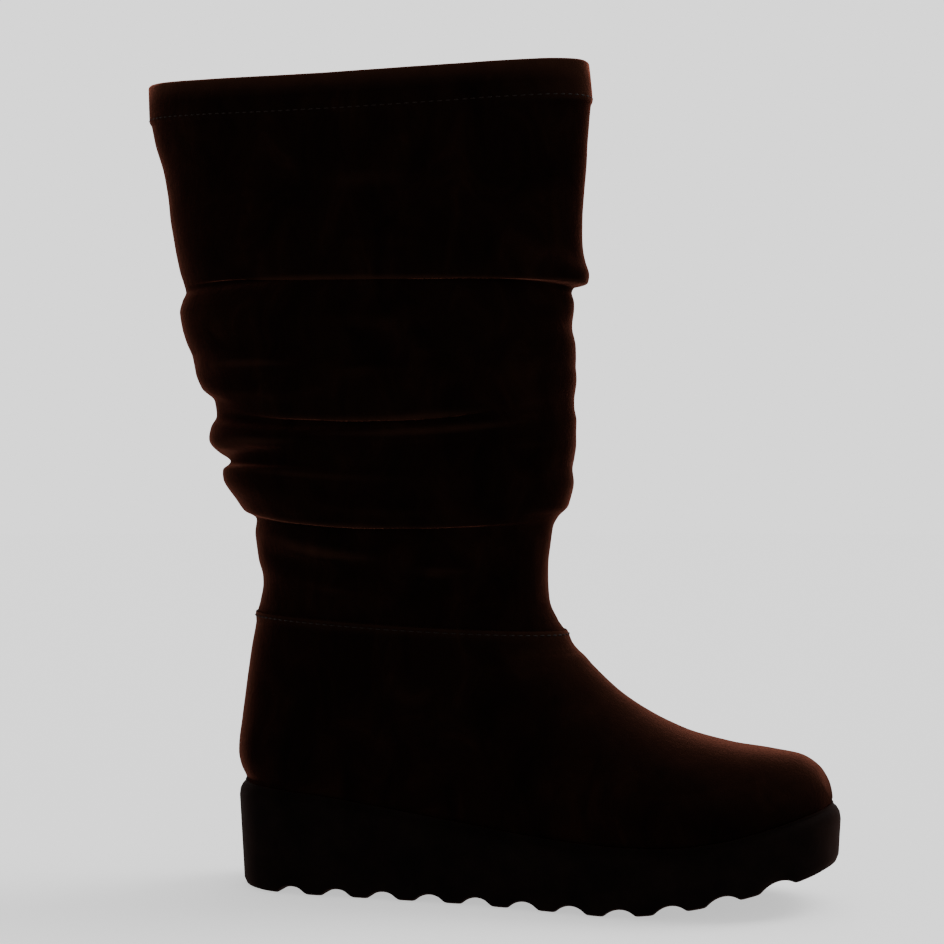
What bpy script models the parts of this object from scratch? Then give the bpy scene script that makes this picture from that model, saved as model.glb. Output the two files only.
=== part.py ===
"""Right slouch boot: outsole, lasted upper, folded shaft and insole.

+X runs to the toe, +Z up, and the outer side of the foot is -Y.
The origin lies on the ground, on the tread lug under the heel seat.
"""
import math
from collections import namedtuple

import bmesh
import bpy
import numpy as np

# Driving dimensions, in metres
LAST_LENGTH = 0.2605        # feather edge, heel to toe
HEEL_SEAT = 0.0415          # heel end of the feather edge to the origin
BALL_WIDTH = 0.089
HEEL_WIDTH = 0.067
HEEL_HEIGHT = 0.0460        # feather edge above the ground, at the heel
BALL_HEIGHT = 0.0280        # at the ball
TOE_HEIGHT = 0.0425         # at the toe
INSTEP_HEIGHT = 0.0845      # front of the ankle seam above the feather edge
BACK_HEIGHT = 0.0755        # back of the ankle seam above the feather edge
SHAFT_HEIGHT = 0.2415       # ankle seam to collar, at the back
COLLAR_DEPTH = 0.2057
COLLAR_WIDTH = 0.073
COLLAR_SETBACK = 0.0543     # collar's back edge behind the ankle's back edge
COLLAR_TILT = 0.0005        # collar's front edge above its back edge
ANKLE_WIDTH = 0.080
ARCH_REACH = 0.080          # from the instep's ridge down to where its side stands upright
TUBE_START = 0.20           # where the foot begins to turn into the leg, share of the back
PUFF = 0.010                # unit of the folds' swell and pinch
WALL = 0.0021               # suede and lining together
HEM_STEP = 0.0009           # turned hem stands proud of the shaft
LASTING_MARGIN = 0.012
FEATHER_RADIUS = 0.0025
SWELL = 0.035               # side wall's swell above the feather edge, as a share
SWELL_HEIGHT = 0.022
ANKLE_RISE = 0.06           # widening towards the ankle, as a share
ANKLE_RISE_HEIGHT = 0.070
HEEL_MARGIN = 0.0032        # outsole beyond the feather edge
TOE_MARGIN = 0.0037
LIP_RADIUS = 0.0050
EDGE_RADIUS = 0.0032
SOLE_DRAFT = 0.06           # side wall's inward slope
TOE_SPRING = 0.0188
SPRING_START = 0.659        # where the tread leaves the ground, share of the sole
SPRING_POWER = 1.5
LUG_PITCH = 0.021
GROOVE_WIDTH = 0.013
GROOVE_DEPTH = 0.0031
INSOLE_THICKNESS = 0.0030
INSOLE_BEVEL = 0.0010
INSOLE_EASE = 0.0024        # extra room round the insole, for the wall's slope
CLEARANCE = 0.0003          # between pieces that meet

SOLE_LENGTH = HEEL_MARGIN + LAST_LENGTH + TOE_MARGIN
SKIVED = (WALL - CLEARANCE) / 2     # each thinned edge in the ankle lap

# Grid of the upper and the shaft
SIDE_STEPS = 17             # from the back or feather edge to the front ridge
ARC_STEPS = 8               # of a tread groove
CROWD_WIDTH = 0.2           # half width past which steps crowd downwards, share of the ball
SOFT_MIN = 4                # power that rounds the smaller of two lengths
LONGEST_CORNER = 1.25       # most that a normal is lengthened at a sharp turn
SHARP_ANGLE = 40            # degrees, between faces that shade as an edge

# Half width of the feather outline at a share of the last's length
Outline = namedtuple("Outline", "along ball heel shift")
OUTLINE = (
    Outline(0.00, 0.000, 0.000, 0.000),
    Outline(0.02, 0.000, 0.270, 0.000),
    Outline(0.06, 0.000, 0.425, 0.000),
    Outline(0.12, 0.000, 0.492, 0.000),
    Outline(0.20, 0.000, 0.500, -0.002),
    Outline(0.30, 0.060, 0.410, -0.010),
    Outline(0.40, 0.150, 0.285, -0.018),
    Outline(0.50, 0.260, 0.180, -0.020),
    Outline(0.60, 0.370, 0.100, -0.014),
    Outline(0.69, 0.462, 0.040, -0.004),
    Outline(0.76, 0.500, 0.000, 0.006),
    Outline(0.84, 0.474, 0.000, 0.024),
    Outline(0.90, 0.415, 0.000, 0.040),
    Outline(0.95, 0.325, 0.000, 0.054),
    Outline(0.98, 0.222, 0.000, 0.062),
    Outline(1.00, 0.000, 0.000, 0.066),
)

# Height of the feather edge: shares of the heel's and the toe's rise over the ball
Feather = namedtuple("Feather", "along heel toe")
FEATHER = (
    Feather(0.00, 1.000, 0.00),
    Feather(0.07, 0.935, 0.00),
    Feather(0.18, 0.790, 0.00),
    Feather(0.25, 0.660, 0.00),
    Feather(0.35, 0.455, 0.00),
    Feather(0.45, 0.260, 0.00),
    Feather(0.54, 0.115, 0.00),
    Feather(0.62, 0.030, 0.00),
    Feather(0.70, 0.000, 0.00),
    Feather(0.76, 0.000, 0.03),
    Feather(0.83, 0.000, 0.18),
    Feather(0.90, 0.000, 0.47),
    Feather(0.96, 0.000, 0.79),
    Feather(1.00, 0.000, 1.00),
)

# Back curve of the counter: height to the ankle seam, setback as a share of the last
Counter = namedtuple("Counter", "height along")
COUNTER = (
    Counter(0.00, 0.0000),
    Counter(0.07, -0.0092),
    Counter(0.14, -0.0128),
    Counter(0.22, -0.0120),
    Counter(0.34, -0.0082),
    Counter(0.48, -0.0038),
    Counter(0.64, 0.0014),
    Counter(0.80, 0.0078),
    Counter(0.92, 0.0138),
    Counter(1.00, 0.0168),
)

# Sections of the upper, fanned from the toe to the ankle seam. top and bottom are
# shares of the last's length, rise of the instep height, climb of the back height.
Section = namedtuple("Section", "name top rise bottom climb fullness steps")
UPPER = (
    Section("toe wall", 0.9965, 0.130, 1.000, 0.00, 2.3, 2),
    Section("toe turn", 0.986, 0.190, 0.986, 0.00, 2.3, 2),
    Section("toe cap", 0.954, 0.283, 0.953, 0.00, 2.3, 2),
    Section("vamp point", 0.898, 0.365, 0.900, 0.00, 2.3, 2),
    Section("vamp", 0.824, 0.454, 0.816, 0.00, 2.2, 2),
    Section("ball", 0.752, 0.544, 0.708, 0.00, 2.2, 1),
    Section("joint", 0.706, 0.607, 0.660, 0.00, 2.1, 1),
    Section("waist", 0.672, 0.655, 0.550, 0.00, 2.1, 1),
    Section("instep", 0.646, 0.710, 0.435, 0.00, 2.1, 1),
    Section("throat", 0.626, 0.764, 0.320, 0.00, 2.1, 1),
    Section("quarter", 0.612, 0.806, 0.210, 0.00, 2.1, 1),
    Section("heel breast", 0.602, 0.836, 0.120, 0.00, 2.1, 1),
    Section("heel side", 0.5965, 0.857, 0.060, 0.00, 2.1, 2),
    Section("heel turn", 0.593, 0.871, 0.015, 0.00, 2.1, 2),
    Section("heel end", 0.590, 0.881, 0.000, 0.00, 2.1, 1),
    Section("counter foot", 0.587, 0.890, 0.000, 0.08, 2.1, 1),
    Section("counter low", 0.584, 0.898, 0.000, 0.20, 2.1, 1),
    Section("counter", 0.5815, 0.907, 0.000, 0.42, 2.1, 1),
    Section("counter top", 0.579, 0.916, 0.000, 0.66, 2.1, 1),
    Section("lap foot", 0.5765, 0.925, 0.000, 0.89, 2.1, 1),
    Section("ankle seam", 0.5600, 1.000, 0.000, 1.00, 2.1, 1),
)
ROUND_FROM = "heel side"    # sections from here begin to close at the back
CLOSED_FROM = "heel end"    # sections from here are whole rings
LAP_FOOT = "lap foot"

# Rings of the shaft. back and front are shares of its height there, and the swells
# and the sag of the ring's middle are shares of PUFF.
Ring = namedtuple("Ring", "name back front back_puff front_puff outer inner sag hem")
SHAFT = (
    Ring("ankle hollow", 0.019, 0.017, -0.22, -0.37, -0.08, -0.06, 0.0, 0),
    Ring("ankle", 0.056, 0.054, -0.56, -0.77, -0.12, -0.10, 0.0, 0),
    Ring("ankle waist", 0.101, 0.102, -0.60, -0.93, -0.06, -0.10, 0.0, 0),
    Ring("ankle top", 0.143, 0.146, -0.66, -0.85, 0.02, 0.00, 0.1, 0),
    Ring("fold 4", 0.173, 0.182, -0.87, -0.72, -0.10, -0.04, 0.2, 0),
    Ring("tier D lip", 0.189, 0.201, -0.38, -0.54, 0.18, 0.16, 0.3, 0),
    Ring("tier D foot", 0.210, 0.220, -0.09, -0.14, 0.36, 0.32, 0.3, 0),
    Ring("tier D", 0.236, 0.243, 0.21, 0.00, 0.44, 0.40, 0.3, 0),
    Ring("tier D bulge", 0.259, 0.270, 0.34, 0.06, 0.42, 0.44, 0.3, 0),
    Ring("fold 3", 0.281, 0.294, -0.13, 0.06, 0.28, 0.30, 0.3, 0),
    Ring("tier C foot", 0.297, 0.315, 0.26, 0.07, 0.34, 0.36, 0.3, 0),
    Ring("tier C bulge", 0.323, 0.343, 0.60, 0.14, 0.45, 0.42, 0.4, 0),
    Ring("tier C top", 0.346, 0.369, 0.40, 0.15, 0.36, 0.30, 0.5, 0),
    Ring("fold 2", 0.368, 0.393, 0.04, -0.04, 0.04, 0.08, 0.5, 0),
    Ring("tier B lip", 0.396, 0.412, -0.04, 0.01, 0.28, 0.26, 0.4, 0),
    Ring("tier B foot", 0.419, 0.438, 0.30, 0.03, 0.44, 0.40, 0.3, 0),
    Ring("tier B swell", 0.447, 0.469, 0.52, 0.01, 0.50, 0.46, 0.2, 0),
    Ring("tier B dip", 0.476, 0.498, 0.52, -0.12, 0.42, 0.44, 0.2, 0),
    Ring("tier B", 0.507, 0.527, 0.71, -0.16, 0.46, 0.48, 0.1, 0),
    Ring("tier B high", 0.534, 0.554, 0.83, -0.19, 0.48, 0.44, 0.0, 0),
    Ring("tier B bulge", 0.560, 0.578, 0.81, -0.23, 0.42, 0.36, -0.1, 0),
    Ring("tier B top", 0.583, 0.594, 0.58, -0.27, 0.22, 0.20, -0.1, 0),
    Ring("fold 1", 0.603, 0.602, 0.31, -0.20, -0.04, 0.02, -0.1, 0),
    Ring("tier A lip", 0.620, 0.611, 0.33, 0.41, 0.24, 0.22, -0.1, 0),
    Ring("tier A foot", 0.642, 0.627, 0.39, 0.47, 0.42, 0.36, 0.0, 0),
    Ring("tier A low", 0.671, 0.652, 0.40, 0.27, 0.44, 0.38, 0.0, 0),
    Ring("tier A", 0.727, 0.700, 0.35, 0.04, 0.30, 0.30, 0.0, 0),
    Ring("tier A mid", 0.785, 0.770, 0.18, 0.11, 0.20, 0.24, 0.0, 0),
    Ring("tier A high", 0.840, 0.845, 0.14, 0.15, 0.14, 0.16, 0.3, 0),
    Ring("tier A top", 0.890, 0.895, 0.27, 0.21, 0.12, 0.12, 0.5, 0),
    Ring("hem seam", 0.928, 0.930, 0.28, 0.24, 0.10, 0.08, 0.6, 0),
    Ring("hem foot", 0.932, 0.934, 0.27, 0.23, 0.10, 0.08, 0.6, 1),
    Ring("collar", 1.000, 1.000, 0.00, 0.00, 0.00, 0.00, 0.6, 1),
)
TUBE_FULLNESS = 2.0

# Rings of the outsole's side, top to bottom. out is a share of its margin, inset of
# the edge radius. Lip rings drop from the seat, edge rings rise from the tread.
SoleRing = namedtuple("SoleRing", "name out inset lip edge")
SOLE_SIDE = (
    SoleRing("seat edge", 0.12, 0.00, 0.00, None),
    SoleRing("lip roll", 0.52, 0.00, 0.26, None),
    SoleRing("lip turn", 0.84, 0.00, 0.62, None),
    SoleRing("lip foot", 1.00, 0.00, 1.20, None),
    SoleRing("edge top", 1.00, 0.00, None, 1.00),
    SoleRing("edge turn", 1.00, 0.28, None, 0.28),
    SoleRing("tread edge", 1.00, 1.00, None, 0.00),
)

# Material: base colour, roughness
MATERIALS = {
    "suede": ((0.012, 0.008, 0.007), 0.85),
    "sole rubber": ((0.010, 0.009, 0.009), 0.55),
    "lining": ((0.020, 0.016, 0.014), 0.75),
}


def clear_scene():
    for old in list(bpy.data.objects):
        bpy.data.objects.remove(old, do_unlink=True)


def material(name):
    colour, roughness = MATERIALS[name]
    made = bpy.data.materials.new(name)
    made.use_nodes = True
    shader = made.node_tree.nodes["Principled BSDF"]
    shader.inputs["Base Color"].default_value = (*colour, 1.0)
    shader.inputs["Roughness"].default_value = roughness
    shader.inputs["Metallic"].default_value = 0.0
    return made


def smooth_curve(places, values):
    """Monotone cubic through a table's points: no overshoot between its rows."""
    xs = np.asarray(places, float)
    ys = np.asarray(values, float)
    widths = np.diff(xs)
    rates = np.diff(ys) / widths
    slopes = np.concatenate(([rates[0]], np.zeros(len(xs) - 2), [rates[-1]]))
    for i in range(1, len(xs) - 1):
        if rates[i - 1] * rates[i] > 0:
            near = 2 * widths[i] + widths[i - 1]
            far = widths[i] + 2 * widths[i - 1]
            slopes[i] = (near + far) / (near / rates[i - 1] + far / rates[i])

    def at(x):
        x = np.clip(x, xs[0], xs[-1])
        i = np.clip(np.searchsorted(xs, x) - 1, 0, len(widths) - 1)
        t = (x - xs[i]) / widths[i]
        start = (1 + 2 * t) * (1 - t) ** 2 * ys[i] + t * (1 - t) ** 2 * widths[i] * slopes[i]
        end = t * t * (3 - 2 * t) * ys[i + 1] + t * t * (t - 1) * widths[i] * slopes[i + 1]
        return start + end

    return at


def column(table, name):
    return [getattr(row, name) for row in table]


def ease(t):
    t = np.clip(t, 0.0, 1.0)
    return t * t * (3 - 2 * t)


# The outline is smooth in the angle round it, where both its ends are round
OUTLINE_ANGLE = [math.acos(1 - 2 * row.along) for row in OUTLINE]
HALF_WIDTH = smooth_curve(
    OUTLINE_ANGLE, [row.ball * BALL_WIDTH + row.heel * HEEL_WIDTH for row in OUTLINE]
)
SHIFT = smooth_curve(column(OUTLINE, "along"), column(OUTLINE, "shift"))
HEEL_RISE = smooth_curve(column(FEATHER, "along"), column(FEATHER, "heel"))
TOE_RISE = smooth_curve(column(FEATHER, "along"), column(FEATHER, "toe"))
BACK_LINE = smooth_curve(column(COUNTER, "height"), column(COUNTER, "along"))


def x_of(along):
    return along * LAST_LENGTH - HEEL_SEAT


def along_of(x):
    return (x + HEEL_SEAT) / LAST_LENGTH


def half_width(along):
    return HALF_WIDTH(np.arccos(1 - 2 * np.clip(along, 0.0, 1.0)))


def centre_line(along):
    return SHIFT(along) * BALL_WIDTH


def feather(along):
    """Height of the feather edge over the ground."""
    heel = (HEEL_HEIGHT - BALL_HEIGHT) * HEEL_RISE(along)
    toe = (TOE_HEIGHT - BALL_HEIGHT) * TOE_RISE(along)
    return BALL_HEIGHT + heel + toe


def tread(x):
    """Height of the tread: flat, then the toe spring."""
    back = -HEEL_SEAT - HEEL_MARGIN
    start = back + SPRING_START * SOLE_LENGTH
    run = (1 - SPRING_START) * SOLE_LENGTH
    return TOE_SPRING * np.clip((x - start) / run, 0.0, None) ** SPRING_POWER


def closing(share, fullness):
    """Half width's share along a section that closes at its front end."""
    return np.clip(1 - share ** fullness, 0.0, None) ** (1 / fullness)


def upper_rows():
    """The upper's table with its in-between sections, as dictionaries."""
    index = range(len(UPPER))
    names = column(UPPER, "name")
    opening = names.index(ROUND_FROM)
    closed = names.index(CLOSED_FROM)
    curves = {
        key: smooth_curve(index, column(UPPER, key))
        for key in ("top", "rise", "bottom", "climb", "fullness")
    }
    rows = []
    for i, section in enumerate(UPPER):
        steps = section.steps if i < len(UPPER) - 1 else 1
        for k in range(steps):
            place = i + k / steps
            row = {key: float(curve(place)) for key, curve in curves.items()}
            row["name"] = section.name if k == 0 else ""
            row["round"] = float(ease((place - opening) / (closed - opening)))
            rows.append(row)
    return rows


def top_height(along, rise):
    return feather(along) + rise * INSTEP_HEIGHT


# The top line from toe to ankle, as a share of the last's length at each height
TOP_LINE = smooth_curve(
    [top_height(section.top, section.rise) for section in UPPER], column(UPPER, "top")
)


def ankle_ends():
    """Back and front points of the ankle seam, in side view."""
    seam = UPPER[-1]
    back = (x_of(float(BACK_LINE(1.0))), feather(0.0) + BACK_HEIGHT)
    front = (x_of(seam.top), top_height(seam.top, seam.rise))
    return back, front


def seam_height(x):
    (back_x, back_z), (front_x, front_z) = ankle_ends()
    return back_z + (x - back_x) / (front_x - back_x) * (front_z - back_z)


def angles():
    return np.linspace(0.0, math.pi, SIDE_STEPS + 1)


def upper_section(row, side):
    """Points of one side of an upper section, from its bottom or back to its front."""
    lift = FEATHER_RADIUS + row["climb"] * (BACK_HEIGHT - FEATHER_RADIUS)
    bottom_x = x_of(row["bottom"] + float(BACK_LINE(row["climb"])))
    bottom_z = feather(row["bottom"]) + lift
    top_x = x_of(row["top"])
    top_z = top_height(row["top"], row["rise"])
    widest = ease(half_width(row["bottom"]) / (CROWD_WIDTH * BALL_WIDTH) + row["round"])
    even = angles() / math.pi
    crowded = np.sin(angles() / 2) ** (1 + row["round"])
    share = even + widest * (crowded - even)
    x = bottom_x + share * (top_x - bottom_x)
    z = bottom_z + share * (top_z - bottom_z)
    rise = z - feather(along_of(x))
    back = BACK_LINE((z - feather(0.0) - FEATHER_RADIUS) / (BACK_HEIGHT - FEATHER_RADIUS))
    width = half_width((along_of(x) - back) / (1 - back))
    width = width * (1 + SWELL * np.sin(math.pi * np.clip(rise / SWELL_HEIGHT, 0.0, 1.0)))
    width = width * (1 + ANKLE_RISE * ease(rise / ANKLE_RISE_HEIGHT))
    length = math.hypot(top_x - bottom_x, top_z - bottom_z)
    reach = length * ARCH_REACH / (length ** SOFT_MIN + ARCH_REACH ** SOFT_MIN) ** (1 / SOFT_MIN)
    arch = np.clip(1 - (1 - share) * length / reach, 0.0, 1.0)
    foot = width * closing(arch, row["fullness"])
    across = np.clip((along_of(x) - back) / (TOP_LINE(z) - back), 0.0, 1.0)
    tube = ANKLE_WIDTH / 2 * closing(np.abs(2 * across - 1), TUBE_FULLNESS)
    low = feather(0.0) + TUBE_START * BACK_HEIGHT
    blend = ease((z - low) / (seam_height(x) - low))
    y = (1 - blend) * (centre_line(along_of(x)) + side * foot) + blend * side * tube
    return np.stack([x, y, z], axis=1)


def shaft_section(ring, side):
    """Points of one side of a shaft ring, from its back to its front."""
    (back_x, back_z), (front_x, front_z) = ankle_ends()
    collar_back_x = back_x - COLLAR_SETBACK
    collar_z = back_z + SHAFT_HEIGHT
    x0 = back_x + ring.back * (collar_back_x - back_x) - ring.back_puff * PUFF
    x1 = front_x + ring.front * (collar_back_x + COLLAR_DEPTH - front_x)
    x1 += ring.front_puff * PUFF
    z0 = back_z + ring.back * SHAFT_HEIGHT
    z1 = front_z + ring.front * (collar_z + COLLAR_TILT - front_z)
    share = np.sin(angles() / 2) ** 2
    level = (ring.back + ring.front) / 2
    puff = ring.outer if side < 0 else ring.inner
    half = (ANKLE_WIDTH + level * (COLLAR_WIDTH - ANKLE_WIDTH)) / 2 + puff * PUFF
    x = x0 + share * (x1 - x0)
    z = z0 + share * (z1 - z0) - ring.sag * PUFF * 4 * share * (1 - share)
    y = side * half * closing(np.abs(2 * share - 1), TUBE_FULLNESS)
    return np.stack([x, y, z], axis=1)


class Skin:
    """The boot's outer skin as one grid: foot sections, then shaft rings.

    places and normals are indexed by the numbers in grid[row][side][step], which
    both sides share along the front ridge, the back and the toe's end.
    """

    def __init__(self):
        self.rows = upper_rows()
        self.foot_rows = len(self.rows)
        names = [row["name"] for row in self.rows]
        self.closed = names.index(CLOSED_FROM)
        self.lap = names.index(LAP_FOOT)
        self.seam = self.foot_rows - 1
        sections = [[upper_section(row, side) for side in (-1, 1)] for row in self.rows]
        sections += [[shaft_section(ring, side) for side in (-1, 1)] for ring in SHAFT]
        self.places = []
        self.grid = []
        for i, (outer, inner) in enumerate(sections):
            left = [self.add(point) for point in outer]
            right = []
            for j, point in enumerate(inner):
                shared = i == 0 or j == SIDE_STEPS or (j == 0 and i >= self.closed)
                right.append(left[j] if shared else self.add(point))
            self.grid.append((left, right))
        self.places = np.array(self.places)
        self.normals = self.corner_normals()

    def add(self, point):
        self.places.append(point)
        return len(self.places) - 1

    def quads(self, first, last):
        """Faces between two rows of the grid, as vertex numbers, facing out."""
        faces = []
        for i in range(first, last):
            for side in (0, 1):
                for j in range(SIDE_STEPS):
                    a, b = self.grid[i][side][j], self.grid[i][side][j + 1]
                    c, d = self.grid[i + 1][side][j + 1], self.grid[i + 1][side][j]
                    face = [a, b, c, d] if side == 0 else [a, d, c, b]
                    faces.append(list(dict.fromkeys(face)))
        return faces

    def corner_normals(self):
        """Unit normals, lengthened a little at sharp turns so that the wall stays even."""
        total = np.zeros_like(self.places)
        seen = [[] for _ in self.places]
        for face in self.quads(0, len(self.grid) - 1):
            corners = self.places[face]
            centre = corners.mean(axis=0)
            across = np.zeros(3)
            for k in range(len(face)):
                across += np.cross(corners[k] - centre, corners[(k + 1) % len(face)] - centre)
            size = np.linalg.norm(across)
            if size == 0:
                continue
            for number in face:
                total[number] += across / size
                seen[number].append(across / size)
        unit = total / np.linalg.norm(total, axis=1)[:, None]
        for number, facets in enumerate(seen):
            slant = min(float(np.dot(unit[number], facet)) for facet in facets)
            unit[number] *= 1 / max(slant, 1 / LONGEST_CORNER)
        return unit

    def loop(self, i):
        """Vertex numbers right round a closed row."""
        left, right = self.grid[i]
        return left + right[-2:0:-1]

    def feather_loop(self):
        """Vertex numbers round the open feather edge: toe, outer side, heel, inner side."""
        outer = [self.grid[i][0][0] for i in range(self.closed + 1)]
        inner = [self.grid[i][1][0] for i in range(1, self.closed)]
        return outer + inner[::-1]

    def ring(self, i, depth):
        numbers = self.loop(i)
        return self.places[numbers] - depth * self.normals[numbers]

    def lap_ring(self, depth, gap):
        """Ring in the ankle lap, a gap above its foot, or below its top if negative."""
        low = self.ring(self.lap, depth)
        high = self.ring(self.seam, depth)
        height = np.linalg.norm(high - low, axis=1)[:, None]
        share = gap / height if gap >= 0 else 1 + gap / height
        return low + share * (high - low)


SKIN = Skin()


def feather_ring(outward, height):
    """Loop set off sideways from the feather outline, at a height over the feather edge."""
    numbers = SKIN.feather_loop()
    places = SKIN.places[numbers][:, :2]
    before = np.roll(places, 1, axis=0)
    after = np.roll(places, -1, axis=0)
    tangent = after - before
    tangent /= np.linalg.norm(tangent, axis=1)[:, None]
    away = np.stack([-tangent[:, 1], tangent[:, 0]], axis=1)
    if np.sum(away * (places - places.mean(axis=0))) < 0:
        away = -away
    flat = places + away * np.reshape(outward, (-1, 1))
    z = feather(along_of(flat[:, 0])) + height
    return np.column_stack([flat, z])


def finish_object(name, mesh_builder, material_name):
    bmesh.ops.recalc_face_normals(mesh_builder, faces=mesh_builder.faces)
    if mesh_builder.calc_volume(signed=True) < 0:
        bmesh.ops.reverse_faces(mesh_builder, faces=mesh_builder.faces)
    mesh = bpy.data.meshes.new(name)
    mesh_builder.to_mesh(mesh)
    mesh_builder.free()
    mesh.shade_smooth()
    mesh.set_sharp_from_angle(angle=math.radians(SHARP_ANGLE))
    mesh.materials.append(material(material_name))
    made = bpy.data.objects.new(name, mesh)
    bpy.context.scene.collection.objects.link(made)
    return made


def add_loop(mesh_builder, places):
    return [mesh_builder.verts.new(place) for place in places]


def bridge(mesh_builder, loops, closed=False):
    """Quads between each loop and the next, and from the last to the first if closed."""
    pairs = list(zip(loops, loops[1:]))
    if closed:
        pairs.append((loops[-1], loops[0]))
    for near, far in pairs:
        count = len(near)
        for k in range(count):
            following = (k + 1) % count
            mesh_builder.faces.new([near[k], near[following], far[following], far[k]])


def cap(mesh_builder, loop):
    """Close a loop that runs toe, outer side, heel, inner side with cross strips."""
    half = len(loop) // 2
    for k in range(half):
        corners = [loop[k], loop[k + 1], loop[-(k + 1)], loop[-k] if k else loop[0]]
        mesh_builder.faces.new(list(dict.fromkeys(corners)))


def make_upper():
    """Lasted wall from the ankle seam down to the margin turned in under the foot."""
    mesh_builder = bmesh.new()
    used = sorted({n for row in SKIN.grid[: SKIN.lap + 1] for side in row for n in side})
    outer = {n: mesh_builder.verts.new(SKIN.places[n]) for n in used}
    inner = {
        n: mesh_builder.verts.new(SKIN.places[n] - WALL * SKIN.normals[n]) for n in used
    }
    for face in SKIN.quads(0, SKIN.lap):
        mesh_builder.faces.new([outer[n] for n in face])
        mesh_builder.faces.new([inner[n] for n in reversed(face)])
    lap = SKIN.loop(SKIN.lap)
    bridge(mesh_builder, [
        [outer[n] for n in lap],
        add_loop(mesh_builder, SKIN.lap_ring(0.0, -CLEARANCE)),
        add_loop(mesh_builder, SKIN.lap_ring(SKIVED, -CLEARANCE)),
        add_loop(mesh_builder, SKIN.lap_ring(SKIVED, 0.0)),
        [inner[n] for n in lap],
    ])
    edge = SKIN.feather_loop()
    turn = FEATHER_RADIUS * (1 - math.sqrt(0.5))
    bridge(mesh_builder, [
        [outer[n] for n in edge],
        add_loop(mesh_builder, feather_ring(-turn, turn)),
        add_loop(mesh_builder, feather_ring(-FEATHER_RADIUS, 0.0)),
        add_loop(mesh_builder, feather_ring(-LASTING_MARGIN, 0.0)),
        add_loop(mesh_builder, feather_ring(-LASTING_MARGIN, WALL)),
        add_loop(mesh_builder, feather_ring(-FEATHER_RADIUS, WALL)),
        [inner[n] for n in edge],
    ])
    return finish_object("upper", mesh_builder, "suede")


def make_shaft():
    """Folded leg tube: its skived foot laps inside the upper, its hem stands proud."""
    first = SKIN.seam + 1
    last = len(SKIN.grid) - 1
    raised = {SKIN.foot_rows + k: ring.hem * HEM_STEP for k, ring in enumerate(SHAFT)}
    down = [SKIN.ring(i, -raised[i]) for i in range(last, first - 1, -1)]
    lap = [
        SKIN.ring(SKIN.seam, 0.0),
        SKIN.ring(SKIN.seam, SKIVED + CLEARANCE),
        SKIN.lap_ring(SKIVED + CLEARANCE, CLEARANCE),
        SKIN.lap_ring(WALL, CLEARANCE),
    ]
    up = [SKIN.ring(i, WALL) for i in range(SKIN.seam, last + 1)]
    mesh_builder = bmesh.new()
    loops = [add_loop(mesh_builder, ring) for ring in down + lap + up]
    bridge(mesh_builder, loops, closed=True)
    return finish_object("shaft", mesh_builder, "suede")


def sole_ring(row):
    base = feather_ring(0.0, 0.0)
    along = along_of(base[:, 0])
    margin = HEEL_MARGIN + np.clip(along, 0.0, 1.0) * (TOE_MARGIN - HEEL_MARGIN)
    seat = base[:, 2] - CLEARANCE
    depth = seat - tread(base[:, 0])
    drop = row.lip * LIP_RADIUS if row.edge is None else depth - row.edge * EDGE_RADIUS
    outward = row.out * margin - row.inset * EDGE_RADIUS - SOLE_DRAFT * drop
    ring = feather_ring(outward, 0.0)
    if row.edge is None:
        ring[:, 2] -= CLEARANCE + drop
    else:
        ring[:, 2] = tread(ring[:, 0]) + row.edge * EDGE_RADIUS
    return ring


def groove_cutter():
    """Arched bars across the sole, one between each lug and the next."""
    mesh_builder = bmesh.new()
    sole_back = -HEEL_SEAT - HEEL_MARGIN
    sole_front = sole_back + SOLE_LENGTH
    reach = BALL_WIDTH
    chord = GROOVE_WIDTH / 2
    radius = (chord ** 2 + GROOVE_DEPTH ** 2) / (2 * GROOVE_DEPTH)
    spread = math.asin(chord / radius)
    first = math.ceil((sole_back + LUG_PITCH / 2) / LUG_PITCH)
    last = math.floor((sole_front - LUG_PITCH) / LUG_PITCH)
    for k in range(first, last + 1):
        x = (k + 0.5) * LUG_PITCH
        base = float(tread(x))
        tilt = math.atan2(float(tread(x + chord) - tread(x - chord)), 2 * chord)
        profile = []
        for step in range(ARC_STEPS + 1):
            turn = -spread + 2 * spread * step / ARC_STEPS
            profile.append((radius * math.sin(turn), radius * (math.cos(turn) - 1) + GROOVE_DEPTH))
        profile += [(chord, -GROOVE_DEPTH), (-chord, -GROOVE_DEPTH)]
        ends = []
        for y in (-reach, reach):
            turned = [
                (x + u * math.cos(tilt) - v * math.sin(tilt), y,
                 base + u * math.sin(tilt) + v * math.cos(tilt))
                for u, v in profile
            ]
            ends.append(add_loop(mesh_builder, turned))
        bridge(mesh_builder, ends)
        mesh_builder.faces.new(ends[0])
        mesh_builder.faces.new(list(reversed(ends[1])))
    made = finish_object("groove_cutter", mesh_builder, "sole rubber")
    made.hide_render = True
    made.display_type = "WIRE"
    return made


def make_outsole():
    mesh_builder = bmesh.new()
    loops = [add_loop(mesh_builder, sole_ring(row)) for row in SOLE_SIDE]
    bridge(mesh_builder, loops)
    cap(mesh_builder, loops[0])
    cap(mesh_builder, loops[-1])
    made = finish_object("outsole", mesh_builder, "sole rubber")
    cut = made.modifiers.new("tread grooves", "BOOLEAN")
    cut.operation = "DIFFERENCE"
    cut.solver = "EXACT"
    cut.object = groove_cutter()
    return made


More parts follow.
